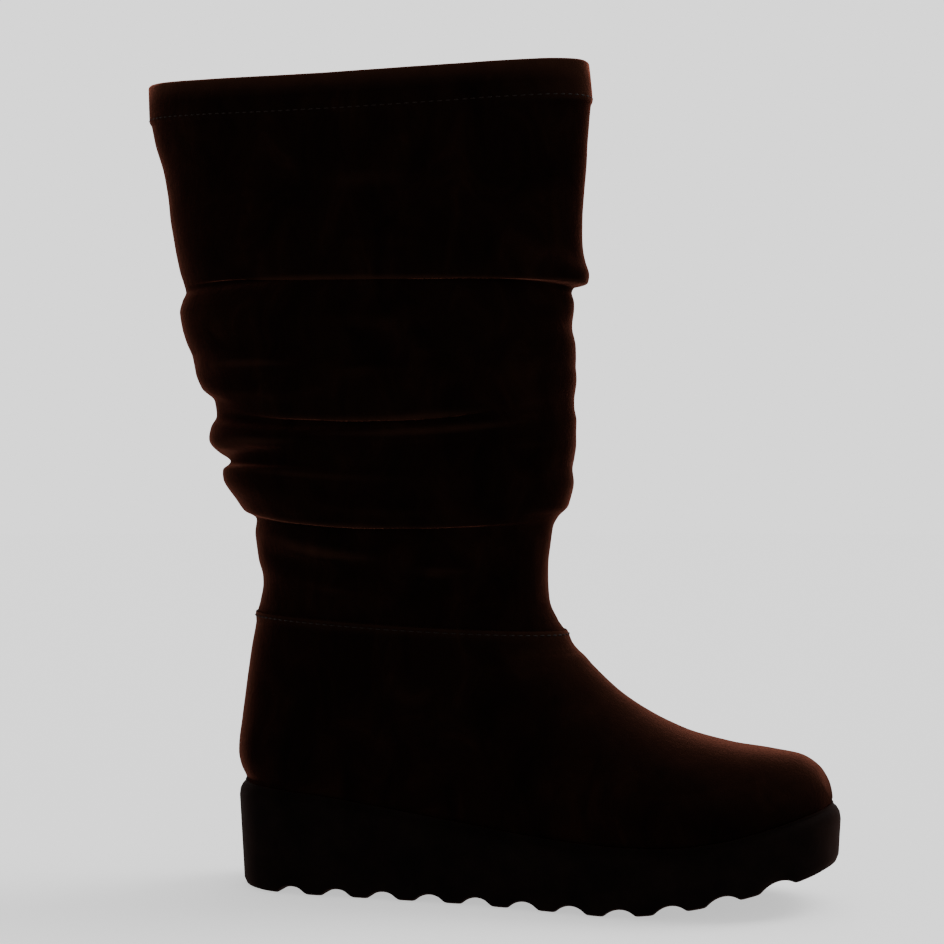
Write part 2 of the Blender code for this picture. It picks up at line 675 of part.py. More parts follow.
def make_insole():
    """Foot bed plate on the lasting margin, clear of the wall round it."""
    mesh_builder = bmesh.new()
    inset = WALL + CLEARANCE + INSOLE_EASE
    bottom = WALL + CLEARANCE
    top = bottom + INSOLE_THICKNESS
    loops = [
        add_loop(mesh_builder, feather_ring(-inset, bottom)),
        add_loop(mesh_builder, feather_ring(-inset, top - INSOLE_BEVEL)),
        add_loop(mesh_builder, feather_ring(-inset - INSOLE_BEVEL, top)),
    ]
    bridge(mesh_builder, loops)
    cap(mesh_builder, loops[0])
    cap(mesh_builder, loops[-1])
    return finish_object("insole", mesh_builder, "lining")


clear_scene()
make_outsole()
make_insole()
make_upper()
make_shaft()
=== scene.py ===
"""Looks of the right slouch boot: suede foot and folded shaft, lining, stitches, rubber sole.

Everything is in metres. +X runs to the toe, +Z up, and the outer side is -Y.
"""

import math
from collections import namedtuple

import bmesh
import bpy
import numpy as np
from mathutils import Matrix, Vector, noise


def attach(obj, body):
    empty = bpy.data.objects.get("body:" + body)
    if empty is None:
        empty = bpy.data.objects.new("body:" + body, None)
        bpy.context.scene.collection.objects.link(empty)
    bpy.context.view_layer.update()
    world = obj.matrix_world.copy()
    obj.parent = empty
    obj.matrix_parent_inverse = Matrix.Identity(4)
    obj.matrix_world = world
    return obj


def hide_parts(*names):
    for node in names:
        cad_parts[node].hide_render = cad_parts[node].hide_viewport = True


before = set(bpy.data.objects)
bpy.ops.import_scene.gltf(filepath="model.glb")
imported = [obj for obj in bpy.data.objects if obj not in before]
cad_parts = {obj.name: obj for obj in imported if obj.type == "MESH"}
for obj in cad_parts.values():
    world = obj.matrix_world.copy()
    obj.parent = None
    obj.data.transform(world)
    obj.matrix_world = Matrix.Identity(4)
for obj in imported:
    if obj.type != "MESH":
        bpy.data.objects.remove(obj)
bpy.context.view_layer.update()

# The last and the sole, in metres
LAST_LENGTH = 0.2605
HEEL_SEAT = 0.0415  # heel end of the feather edge to the origin
BALL_WIDTH = 0.089
HEEL_WIDTH = 0.067
HEEL_HEIGHT = 0.0460  # feather edge above the ground
BALL_HEIGHT = 0.0280
TOE_HEIGHT = 0.0425
HEEL_MARGIN = 0.0032  # outsole beyond the feather edge
TOE_MARGIN = 0.0037
LIP_RADIUS = 0.0050
EDGE_RADIUS = 0.0032
SOLE_DRAFT = 0.06
TOE_SPRING = 0.0188
SPRING_START = 0.659
SPRING_POWER = 1.5
LUG_PITCH = 0.021
GROOVE_WIDTH = 0.013
GROOVE_DEPTH = 0.0031
CLEARANCE = 0.0003

# The upper and the shaft, in metres
INSTEP_HEIGHT = 0.0845
BACK_HEIGHT = 0.0755
SHAFT_HEIGHT = 0.2415
COLLAR_DEPTH = 0.2057
COLLAR_WIDTH = 0.073
COLLAR_SETBACK = 0.0543
COLLAR_TILT = 0.0005
ANKLE_WIDTH = 0.080
ARCH_REACH = 0.080  # length of a foot section, from its front end, that is arched
TUBE_START = 0.20  # share of the back height where the foot turns to a tube
PUFF = 0.010  # unit of the folds' swell and pinch
FEATHER_RADIUS = 0.0025
SWELL = 0.035  # bulge of the foot's wall over the feather edge, as a share
SWELL_HEIGHT = 0.022
ANKLE_RISE = 0.06  # share by which the foot gets wider towards the ankle
ANKLE_RISE_HEIGHT = 0.070
LASTING_MARGIN = 0.012
WALL = 0.0021
SUEDE = 0.0012  # the suede alone, without its lining
HEM_STEP = 0.0009  # turned hem stands proud of the shaft
HEM_ROLL = 1  # fine rows in which the hem's round top edge lies
HEM_ROLL_START = 0.5  # share of those rows where the edge starts to turn in
FACING_ROWS = 2  # fine rows over which the hem's turned-in facing sets in
LAP_ROWS = 2  # fine rows from the ankle seam down to the shaft's foot
EDGE_STEPS = 6  # round a folded edge of suede
SEAM_RIDGE = 0.0008  # the foot's folded edge stands proud at the ankle
SEAM_RIDGE_HEIGHT = 0.0050
TUBE_FULLNESS = 2.0  # power of the leg's oval, where 2 is an ellipse
CROWD_WIDTH = 0.2  # share of the ball's width from which a section's ends are dense
SOFT_MIN = 4  # power that softens the arch's limit

SOLE_LENGTH = HEEL_MARGIN + LAST_LENGTH + TOE_MARGIN

# Grid of the fine skin: steps between two rows of a table, and round one side
FOOT_DENSITY = 5
SHAFT_DENSITY = 6
SIDE_STEPS = 110
LINING_DENSITY = 2
LINING_SIDE_STEPS = 48
SMOOTH = 50  # degrees up to which an edge is shaded smooth


def table(fields, rows):
    """A table's rows with their values by name, the last two 0 where they are left out."""
    kind = namedtuple("Row", fields, defaults=(0, 0))
    return [kind(*row) for row in rows]


# Half widths of the feather edge, as shares of the ball's and the heel's width, and the swing
# of its middle line to the inner side
OUTLINE = table("along ball heel shift", (
    (0.00, 0.000, 0.000, 0.000),
    (0.02, 0.000, 0.270, 0.000),
    (0.06, 0.000, 0.425, 0.000),
    (0.12, 0.000, 0.492, 0.000),
    (0.20, 0.000, 0.500, -0.002),
    (0.30, 0.060, 0.410, -0.010),
    (0.40, 0.150, 0.285, -0.018),
    (0.50, 0.260, 0.180, -0.020),
    (0.60, 0.370, 0.100, -0.014),
    (0.69, 0.462, 0.040, -0.004),
    (0.76, 0.500, 0.000, 0.006),
    (0.84, 0.474, 0.000, 0.024),
    (0.90, 0.415, 0.000, 0.040),
    (0.95, 0.325, 0.000, 0.054),
    (0.98, 0.222, 0.000, 0.062),
    (1.00, 0.000, 0.000, 0.066),
))

# Height of the feather edge along the last: shares of its rise at the heel and at the toe
FEATHER = table("along heel toe", (
    (0.00, 1.000),
    (0.07, 0.935),
    (0.18, 0.790),
    (0.25, 0.660),
    (0.35, 0.455),
    (0.45, 0.260),
    (0.54, 0.115),
    (0.62, 0.030),
    (0.70, 0.000, 0.00),
    (0.76, 0.000, 0.03),
    (0.83, 0.000, 0.18),
    (0.90, 0.000, 0.47),
    (0.96, 0.000, 0.79),
    (1.00, 0.000, 1.00),
))

# Back line of the foot: how far forward it lies at a height, as a share of the last's length
COUNTER = table("height along", (
    (0.00, 0.0000),
    (0.07, -0.0092),
    (0.14, -0.0128),
    (0.22, -0.0120),
    (0.34, -0.0082),
    (0.48, -0.0038),
    (0.64, 0.0014),
    (0.80, 0.0078),
    (0.92, 0.0138),
    (1.00, 0.0168),
))

# Sections of the foot, fanned from the toe to the ankle seam, within 2 mm of the solid's.
# top and bottom are shares of the last's length, rise of the instep's height, climb of the
# back's. steps times the density gives the fine rows to the next.
UPPER = table("name top rise bottom climb fullness steps", (
    ("toe wall", 0.9905, 0.130, 1.000, 0.00, 2.3, 2),
    ("toe turn", 0.9815, 0.190, 0.986, 0.00, 2.3, 2),
    ("toe cap", 0.9525, 0.283, 0.953, 0.00, 2.3, 2),
    ("vamp point", 0.898, 0.365, 0.900, 0.00, 2.3, 2),
    ("vamp", 0.824, 0.4510, 0.816, 0.00, 2.2, 2),
    ("ball", 0.752, 0.5385, 0.708, 0.00, 2.2, 1),
    ("joint", 0.7067, 0.609, 0.660, 0.00, 2.1, 1),
    ("waist", 0.6749, 0.669, 0.550, 0.00, 2.1, 1),
    ("instep", 0.6498, 0.7234, 0.435, 0.00, 2.1, 1),
    ("throat", 0.6298, 0.7757, 0.320, 0.00, 2.1, 1),
    ("quarter", 0.6152, 0.8155, 0.210, 0.00, 2.1, 1),
    ("heel breast", 0.6049, 0.8447, 0.120, 0.00, 2.1, 1),
    ("heel side", 0.5989, 0.864, 0.060, 0.00, 2.1, 2),
    ("heel turn", 0.5949, 0.8768, 0.015, 0.00, 2.1, 2),
    ("heel end", 0.5916, 0.886, 0.000, 0.00, 2.1, 1),
    ("counter foot", 0.5884, 0.8941, 0.000, 0.08, 2.1, 1),
    ("counter low", 0.5851, 0.9013, 0.000, 0.20, 2.1, 1),
    ("counter", 0.5823, 0.9095, 0.000, 0.42, 2.1, 1),
    ("counter top", 0.5796, 0.9177, 0.000, 0.66, 2.1, 1),
    ("lap foot", 0.5768, 0.9258, 0.000, 0.89, 2.1, 1),
    ("ankle seam", 0.5600, 1.000, 0.000, 1.00, 2.1, 1),
))
ROUND_FROM = "heel side"
CLOSED_FROM = "heel end"

# Rings of the shaft, within about 2 mm of the solid's. back and front are shares of its
# height, what follows shares of PUFF. tuck hangs a fold's lip over the ring below it on both
# sides, and hem is 1 where the wall stands proud.
SHAFT = table("name back front back_puff front_puff outer inner sag tuck hem", (
    ("ankle hollow", 0.019, 0.017, -0.22, -0.33, -0.08, -0.06, 0.0),
    ("ankle", 0.056, 0.054, -0.56, -0.77, -0.12, -0.10, 0.0),
    ("ankle waist", 0.101, 0.102, -0.60, -0.87, -0.06, -0.10, 0.0),
    ("ankle top", 0.143, 0.146, -0.66, -0.81, 0.02, 0.00, 0.1),
    ("fold 4", 0.173, 0.182, -0.87, -0.72, -0.10, -0.04, 0.2),
    ("tier D lip", 0.189, 0.201, -0.38, -0.50, 0.18, 0.16, 0.3, 0.30),
    ("tier D foot", 0.210, 0.220, -0.09, -0.09, 0.36, 0.32, 0.3, 0.10),
    ("tier D", 0.246, 0.243, 0.31, 0.02, 0.44, 0.40, 0.3),
    ("tier D bulge", 0.266, 0.270, 0.24, 0.13, 0.42, 0.44, 0.3),
    ("fold 3", 0.281, 0.294, -0.16, 0.15, 0.28, 0.30, 0.3),
    ("tier C foot", 0.297, 0.315, 0.24, 0.11, 0.34, 0.36, 0.3),
    ("tier C bulge", 0.321, 0.343, 0.60, 0.14, 0.45, 0.42, 0.4),
    ("tier C top", 0.346, 0.369, 0.40, 0.15, 0.36, 0.30, 0.6),
    ("fold 2", 0.368, 0.393, 0.04, 0.04, 0.04, 0.08, 0.65),
    ("tier B lip", 0.396, 0.412, -0.04, 0.01, 0.28, 0.26, 0.57, 0.50),
    ("tier B foot", 0.419, 0.438, 0.46, 0.04, 0.44, 0.40, 0.42, 0.15),
    ("tier B swell", 0.447, 0.469, 0.63, 0.06, 0.50, 0.46, 0.2),
    ("tier B dip", 0.476, 0.498, 0.63, -0.09, 0.42, 0.44, 0.2),
    ("tier B", 0.507, 0.527, 0.78, -0.14, 0.46, 0.48, 0.1),
    ("tier B high", 0.534, 0.554, 0.84, -0.13, 0.48, 0.44, 0.0),
    ("tier B bulge", 0.560, 0.578, 0.81, -0.17, 0.42, 0.36, -0.1),
    ("tier B top", 0.583, 0.594, 0.58, -0.27, 0.22, 0.20, -0.25),
    ("fold 1", 0.603, 0.602, 0.31, -0.20, -0.04, 0.02, -0.3),
    ("tier A lip", 0.620, 0.611, 0.33, 0.41, 0.24, 0.22, -0.3, 0.50),
    ("tier A foot", 0.642, 0.627, 0.39, 0.47, 0.42, 0.36, -0.15, 0.15),
    ("tier A low", 0.671, 0.652, 0.40, 0.33, 0.44, 0.38, 0.0),
    ("tier A", 0.727, 0.700, 0.35, 0.04, 0.30, 0.30, 0.0),
    ("tier A mid", 0.785, 0.770, 0.24, 0.12, 0.20, 0.24, 0.0),
    ("tier A high", 0.840, 0.845, 0.20, 0.17, 0.14, 0.16, 0.3),
    ("tier A top", 0.890, 0.895, 0.33, 0.25, 0.12, 0.12, 0.5),
    ("hem seam", 0.921, 0.923, 0.34, 0.28, 0.10, 0.08, 0.6),
    ("hem foot", 0.932, 0.934, 0.30, 0.25, 0.10, 0.08, 0.6, 0.00, 1),
    ("collar", 1.000, 1.000, 0.00, 0.00, 0.00, 0.00, 0.6, 0.00, 1),
))

# Soft creases of the shaft. start and end run round it from the back, 0, to the front,
# 1, on the outer side, or to -1 on the inner. low and high are its height at each end,
# bow lifts its middle, depth and width are shares of PUFF.
CREASES = table("name start end low high bow depth width", (
    ("back pinch B", 0.06, 0.42, 0.486, 0.505, 0.010, 0.12, 0.45),
    ("outer sweep B", 0.20, 0.86, 0.520, 0.478, -0.020, 0.24, 0.60),
    ("outer lift B", 0.34, 0.72, 0.560, 0.548, 0.010, 0.13, 0.42),
    ("outer low B", 0.10, 0.52, 0.448, 0.462, -0.010, 0.17, 0.40),
    ("front pull B", 0.66, 1.12, 0.545, 0.520, 0.008, 0.15, 0.45),
    ("front low B", 0.70, 1.16, 0.462, 0.450, 0.006, 0.11, 0.40),
    ("inner sweep B", -0.82, -0.24, 0.470, 0.530, -0.018, 0.25, 0.60),
    ("inner lift B", -0.60, -0.16, 0.560, 0.552, 0.010, 0.15, 0.42),
    ("inner low B", -0.72, -0.30, 0.448, 0.456, -0.008, 0.14, 0.36),
    ("outer pinch D", 0.04, 0.42, 0.286, 0.296, 0.010, 0.26, 0.35),
    ("inner pinch D", -0.38, -0.04, 0.292, 0.286, 0.010, 0.26, 0.35),
    ("outer sweep C", 0.36, 0.92, 0.336, 0.352, -0.014, 0.21, 0.45),
    ("outer short C", 0.14, 0.46, 0.330, 0.322, -0.006, 0.15, 0.34),
    ("inner sweep C", -0.90, -0.34, 0.346, 0.318, -0.012, 0.22, 0.45),
    ("front pull D", 0.60, 1.20, 0.286, 0.272, 0.008, 0.17, 0.40),
    ("outer sweep D", 0.24, 0.70, 0.262, 0.240, -0.012, 0.19, 0.40),
    ("inner sweep D", -0.66, -0.16, 0.232, 0.262, -0.012, 0.19, 0.40),
    ("outer drape A", 0.30, 0.78, 0.680, 0.726, 0.020, 0.15, 0.80),
    ("outer high A", 0.16, 0.50, 0.800, 0.770, -0.012, 0.10, 0.90),
    ("inner drape A", -0.80, -0.36, 0.730, 0.690, 0.018, 0.16, 0.80),
    ("inner high A", -0.48, -0.14, 0.770, 0.806, -0.012, 0.10, 0.90),
    ("front drape A", 0.72, 1.10, 0.700, 0.668, -0.012, 0.16, 0.60),
    ("ankle front", 0.58, 1.42, 0.110, 0.110, 0.016, 0.02, 0.45),
    ("ankle outer", 0.16, 0.62, 0.120, 0.086, -0.016, 0.20, 0.45),
    ("ankle inner", -0.60, -0.14, 0.084, 0.122, -0.014, 0.20, 0.45),
    ("ankle back", -0.26, 0.26, 0.060, 0.060, 0.012, 0.04, 0.35),
    ("ankle side", 0.44, 0.84, 0.052, 0.066, 0.010, 0.13, 0.40),
    ("ankle inside", -0.86, -0.44, 0.064, 0.050, 0.010, 0.13, 0.40),
))
RIDGE_SHARE = 0.45  # height of the swells beside a trough, next to its depth
RIDGE_OFF = 1.9  # their distance from it, and their spread, next to its width
RIDGE_SPREAD = 1.1
LOW_RIDGE = 0.6  # height of the lower swell next to the upper
CREASE_FADE = 1.2  # power with which a crease fades to its ends
UNEVEN = ((0.00045, 0.027), (0.00020, 0.011))  # height and length of the hide's swells
FOOT_UNEVEN = 0.45  # share of them on the lasted foot
BACK_SEAM = 0.0005  # depth of the back seam's furrow
CREST_ROWS = 3  # rows up and down from a point that tell a crest from a hollow
CREST_HEIGHT = (0.0004, 0.0016)

# Painted highlight: how far the suede's tone is painted lighter brown where light catches it, where 1
# is all the way
HEM_EDGE_HIGHLIGHT = 1.1  # at the hem's edge
HEM_EDGE_FADE_ROWS = 3  # fine rows from that edge down, in which its painted highlight and nap fade
HEM_FRONT_HIGHLIGHT = 0.8  # on the hem's front
HEM_FRONT_START = 0.72  # share of the way round from the back, where that sets in
INSTEP_HIGHLIGHT = 0.55  # on instep and vamp, painted lighter where they face up and forwards
INSTEP_FACING = np.array([0.55, 0.0, 0.835])  # full where the skin faces this way
INSTEP_POWER = 2
SEAM_HIGHLIGHT = 0.4  # on the foot's folded edge at the ankle

# Nap: strength of its sheen next to plain suede, which has 1
SHEEN = 0.225  # what plain suede has in the material
HEM_NAP = 2.8  # at the hem's edge
HEM_FRONT_NAP = 0.96  # what the hem's front has more
INSTEP_NAP = 0.45  # what instep and vamp have more
TOE_DULL = 0.85  # share that is gone on the toe's wall and the turned-in margin
TOE_DULL_START = 0.88  # share of the last's length where that sets in
TOE_DULL_HEIGHT = 0.024  # height over the feather edge where it ends

# Rings of the outsole's side from the seat down, as in the solid
SOLE_SIDE = table("name out inset lip edge", (
    ("seat edge", 0.12, 0.00, 0.00, None),
    ("lip roll", 0.52, 0.00, 0.26, None),
    ("lip turn", 0.84, 0.00, 0.62, None),
    ("lip foot", 1.00, 0.00, 1.20, None),
    ("edge top", 1.00, 0.00, None, 1.00),
    ("edge turn", 1.00, 0.28, None, 0.28),
    ("tread edge", 1.00, 1.00, None, 0.00),
))
LIP_HEIGHT = next(row.lip for row in SOLE_SIDE if row.name == "lip foot") * LIP_RADIUS


def smooth_curve(places, values):
    """Monotone cubic through a table's points: no overshoot between its rows."""
    xs = np.asarray(places, float)
    ys = np.asarray(values, float)
    widths = np.diff(xs)
    rates = np.diff(ys) / widths
    slopes = np.concatenate(([rates[0]], np.zeros(len(xs) - 2), [rates[-1]]))
    for i in range(1, len(xs) - 1):
        if rates[i - 1] * rates[i] > 0:
            near = 2 * widths[i] + widths[i - 1]
            far = widths[i] + 2 * widths[i - 1]
            slopes[i] = (near + far) / (near / rates[i - 1] + far / rates[i])

    def at(x):
        x = np.clip(x, xs[0], xs[-1])
        i = np.clip(np.searchsorted(xs, x) - 1, 0, len(widths) - 1)
        t = (x - xs[i]) / widths[i]
        start = (1 + 2 * t) * (1 - t) ** 2 * ys[i] + t * (1 - t) ** 2 * widths[i] * slopes[i]
        end = t * t * (3 - 2 * t) * ys[i + 1] + t * t * (t - 1) * widths[i] * slopes[i + 1]
        return start + end

    return at


def column(table, name):
    return [getattr(row, name) for row in table]


def ease(t):
    t = np.clip(t, 0.0, 1.0)
    return t * t * (3 - 2 * t)


def turn_of(along):
    """Angle round the outline, in which both its round ends are smooth."""
    return np.arccos(1 - 2 * np.clip(along, 0.0, 1.0))


HALF_WIDTH = smooth_curve(
    [turn_of(row.along) for row in OUTLINE],
    [row.ball * BALL_WIDTH + row.heel * HEEL_WIDTH for row in OUTLINE],
)
SHIFT = smooth_curve(column(OUTLINE, "along"), column(OUTLINE, "shift"))
HEEL_RISE = smooth_curve(column(FEATHER, "along"), column(FEATHER, "heel"))
TOE_RISE = smooth_curve(column(FEATHER, "along"), column(FEATHER, "toe"))
BACK_LINE = smooth_curve(column(COUNTER, "height"), column(COUNTER, "along"))


def x_of(along):
    return along * LAST_LENGTH - HEEL_SEAT


def along_of(x):
    return (x + HEEL_SEAT) / LAST_LENGTH


def half_width(along):
    return HALF_WIDTH(turn_of(along))


def centre_line(along):
    return SHIFT(along) * BALL_WIDTH


def feather(along):
    """Height of the feather edge over the ground."""
    heel = (HEEL_HEIGHT - BALL_HEIGHT) * HEEL_RISE(along)
    toe = (TOE_HEIGHT - BALL_HEIGHT) * TOE_RISE(along)
    return BALL_HEIGHT + heel + toe


def tread(x):
    """Height of the tread: flat, then the toe spring."""
    start = -HEEL_SEAT - HEEL_MARGIN + SPRING_START * SOLE_LENGTH
    run = (1 - SPRING_START) * SOLE_LENGTH
    return TOE_SPRING * np.clip((x - start) / run, 0.0, None) ** SPRING_POWER


def closing(share, fullness):
    """Half width's share along a section that closes at its front end."""
    return np.clip(1 - share ** fullness, 0.0, None) ** (1 / fullness)


def top_height(along, rise):
    return feather(along) + rise * INSTEP_HEIGHT


TOP_LINE = smooth_curve(
    [top_height(section.top, section.rise) for section in UPPER], column(UPPER, "top")
)


def ankle_ends():
    """Back and front points of the ankle seam, in side view."""
    seam = UPPER[-1]
    back = (x_of(float(BACK_LINE(1.0))), feather(0.0) + BACK_HEIGHT)
    front = (x_of(seam.top), top_height(seam.top, seam.rise))
    return back, front


def seam_height(x):
    (back_x, back_z), (front_x, front_z) = ankle_ends()
    return back_z + (x - back_x) / (front_x - back_x) * (front_z - back_z)


def foot_rows(density):
    """The foot's sections with density steps to each of the solid's, as dictionaries."""
    names = column(UPPER, "name")
    opening = names.index(ROUND_FROM)
    closed = names.index(CLOSED_FROM)
    index = range(len(UPPER))
    curves = {
        key: smooth_curve(index, column(UPPER, key)) for key in ("top", "rise", "climb", "fullness")
    }
    turn = smooth_curve(index, [turn_of(section.bottom) for section in UPPER])
    rows = []
    for i, section in enumerate(UPPER):
        steps = section.steps * density if i < len(UPPER) - 1 else 1
        for k in range(steps):
            place = i + k / steps
            row = {key: float(curve(place)) for key, curve in curves.items()}
            row["bottom"] = (1 - math.cos(float(turn(place)))) / 2
            row["name"] = section.name if k == 0 else ""
            row["round"] = float(ease((place - opening) / (closed - opening)))
            rows.append(row)
    return rows


def shaft_rings(density):
    """The shaft's rings with density steps from each to the next, as dictionaries."""
    keys = SHAFT[0]._fields[1:]
    index = range(len(SHAFT))
    curves = {key: smooth_curve(index, column(SHAFT, key)) for key in keys}
    places = np.linspace(0, len(SHAFT) - 1, (len(SHAFT) - 1) * density + 1)
    return [{key: float(curve(place)) for key, curve in curves.items()} for place in places]


def upper_section(row, side, angles):
    """Points of one side of a foot section, from its bottom or back to its front."""
    lift = FEATHER_RADIUS + row["climb"] * (BACK_HEIGHT - FEATHER_RADIUS)
    bottom_x = x_of(row["bottom"] + float(BACK_LINE(row["climb"])))
    bottom_z = feather(row["bottom"]) + lift
    top_x = x_of(row["top"])
    top_z = top_height(row["top"], row["rise"])
    widest = ease(half_width(row["bottom"]) / (CROWD_WIDTH * BALL_WIDTH) + row["round"])
    even = angles / math.pi
    crowded = np.sin(angles / 2) ** (1 + row["round"])
    share = even + widest * (crowded - even)
    x = bottom_x + share * (top_x - bottom_x)
    z = bottom_z + share * (top_z - bottom_z)
    rise = z - feather(along_of(x))
    back = BACK_LINE((z - feather(0.0) - FEATHER_RADIUS) / (BACK_HEIGHT - FEATHER_RADIUS))
    width = half_width((along_of(x) - back) / (1 - back))
    width = width * (1 + SWELL * np.sin(math.pi * np.clip(rise / SWELL_HEIGHT, 0.0, 1.0)))
    width = width * (1 + ANKLE_RISE * ease(rise / ANKLE_RISE_HEIGHT))
    length = math.hypot(top_x - bottom_x, top_z - bottom_z)
    reach = length * ARCH_REACH / (length ** SOFT_MIN + ARCH_REACH ** SOFT_MIN) ** (1 / SOFT_MIN)
    arch = np.clip(1 - (1 - share) * length / reach, 0.0, 1.0)
    foot = width * closing(arch, row["fullness"])
    across = np.clip((along_of(x) - back) / (TOP_LINE(z) - back), 0.0, 1.0)
    tube = ANKLE_WIDTH / 2 * closing(np.abs(2 * across - 1), TUBE_FULLNESS)
    low = feather(0.0) + TUBE_START * BACK_HEIGHT
    blend = ease((z - low) / (seam_height(x) - low))
    y = (1 - blend) * (centre_line(along_of(x)) + side * foot) + blend * side * tube
    return np.stack([x, y, z], axis=1)


def shaft_section(ring, side, angles):
    """Points of one side of a shaft ring, from its back to its front."""
    (back_x, back_z), (front_x, front_z) = ankle_ends()
    collar_back_x = back_x - COLLAR_SETBACK
    collar_z = back_z + SHAFT_HEIGHT
    x0 = back_x + ring["back"] * (collar_back_x - back_x) - ring["back_puff"] * PUFF
    x1 = front_x + ring["front"] * (collar_back_x + COLLAR_DEPTH - front_x)
    x1 += ring["front_puff"] * PUFF
    z0 = back_z + ring["back"] * SHAFT_HEIGHT
    z1 = front_z + ring["front"] * (collar_z + COLLAR_TILT - front_z)
    share = np.sin(angles / 2) ** 2
    level = (ring["back"] + ring["front"]) / 2
    puff = ring["outer"] if side < 0 else ring["inner"]
    half = (ANKLE_WIDTH + level * (COLLAR_WIDTH - ANKLE_WIDTH)) / 2 + puff * PUFF
    middle = 4 * share * (1 - share)
    x = x0 + share * (x1 - x0)
    z = z0 + share * (z1 - z0) - (ring["sag"] + ring["tuck"]) * PUFF * middle
    y = side * half * closing(np.abs(2 * share - 1), TUBE_FULLNESS)
    return np.stack([x, y, z], axis=1)


def crease_relief(around, level):
    """Height of the listed creases over the shaft's plain form, in metres."""
    relief = np.zeros_like(around)
    for crease in CREASES:
        # The way right round is 2, so a crease can run on past the back or the front
        for wrap in (-2.0, 0.0, 2.0):
            t = (around + wrap - crease.start) / (crease.end - crease.start)
            inside = (t > 0) & (t < 1)
            t = np.clip(t, 0.0, 1.0)
            path = crease.low + t * (crease.high - crease.low)
            path += crease.bow * np.sin(math.pi * t)
            off = (level - path) * SHAFT_HEIGHT / (crease.width * PUFF)
            trough = -np.exp(-off ** 2)
            above = np.exp(-((off - RIDGE_OFF) / RIDGE_SPREAD) ** 2)
            below = np.exp(-((off + RIDGE_OFF) / RIDGE_SPREAD) ** 2)
            form = trough + RIDGE_SHARE * (above + LOW_RIDGE * below)
            fade = np.sin(math.pi * t) ** CREASE_FADE
            relief += inside * fade * crease.depth * PUFF * form
    return relief


def unevenness(places):
    """Slow swells of the hide, in metres."""
    total = np.zeros(len(places))
    for height, length in UNEVEN:
        total += height * np.array([noise.noise(Vector(place) / length) for place in places])
    return total


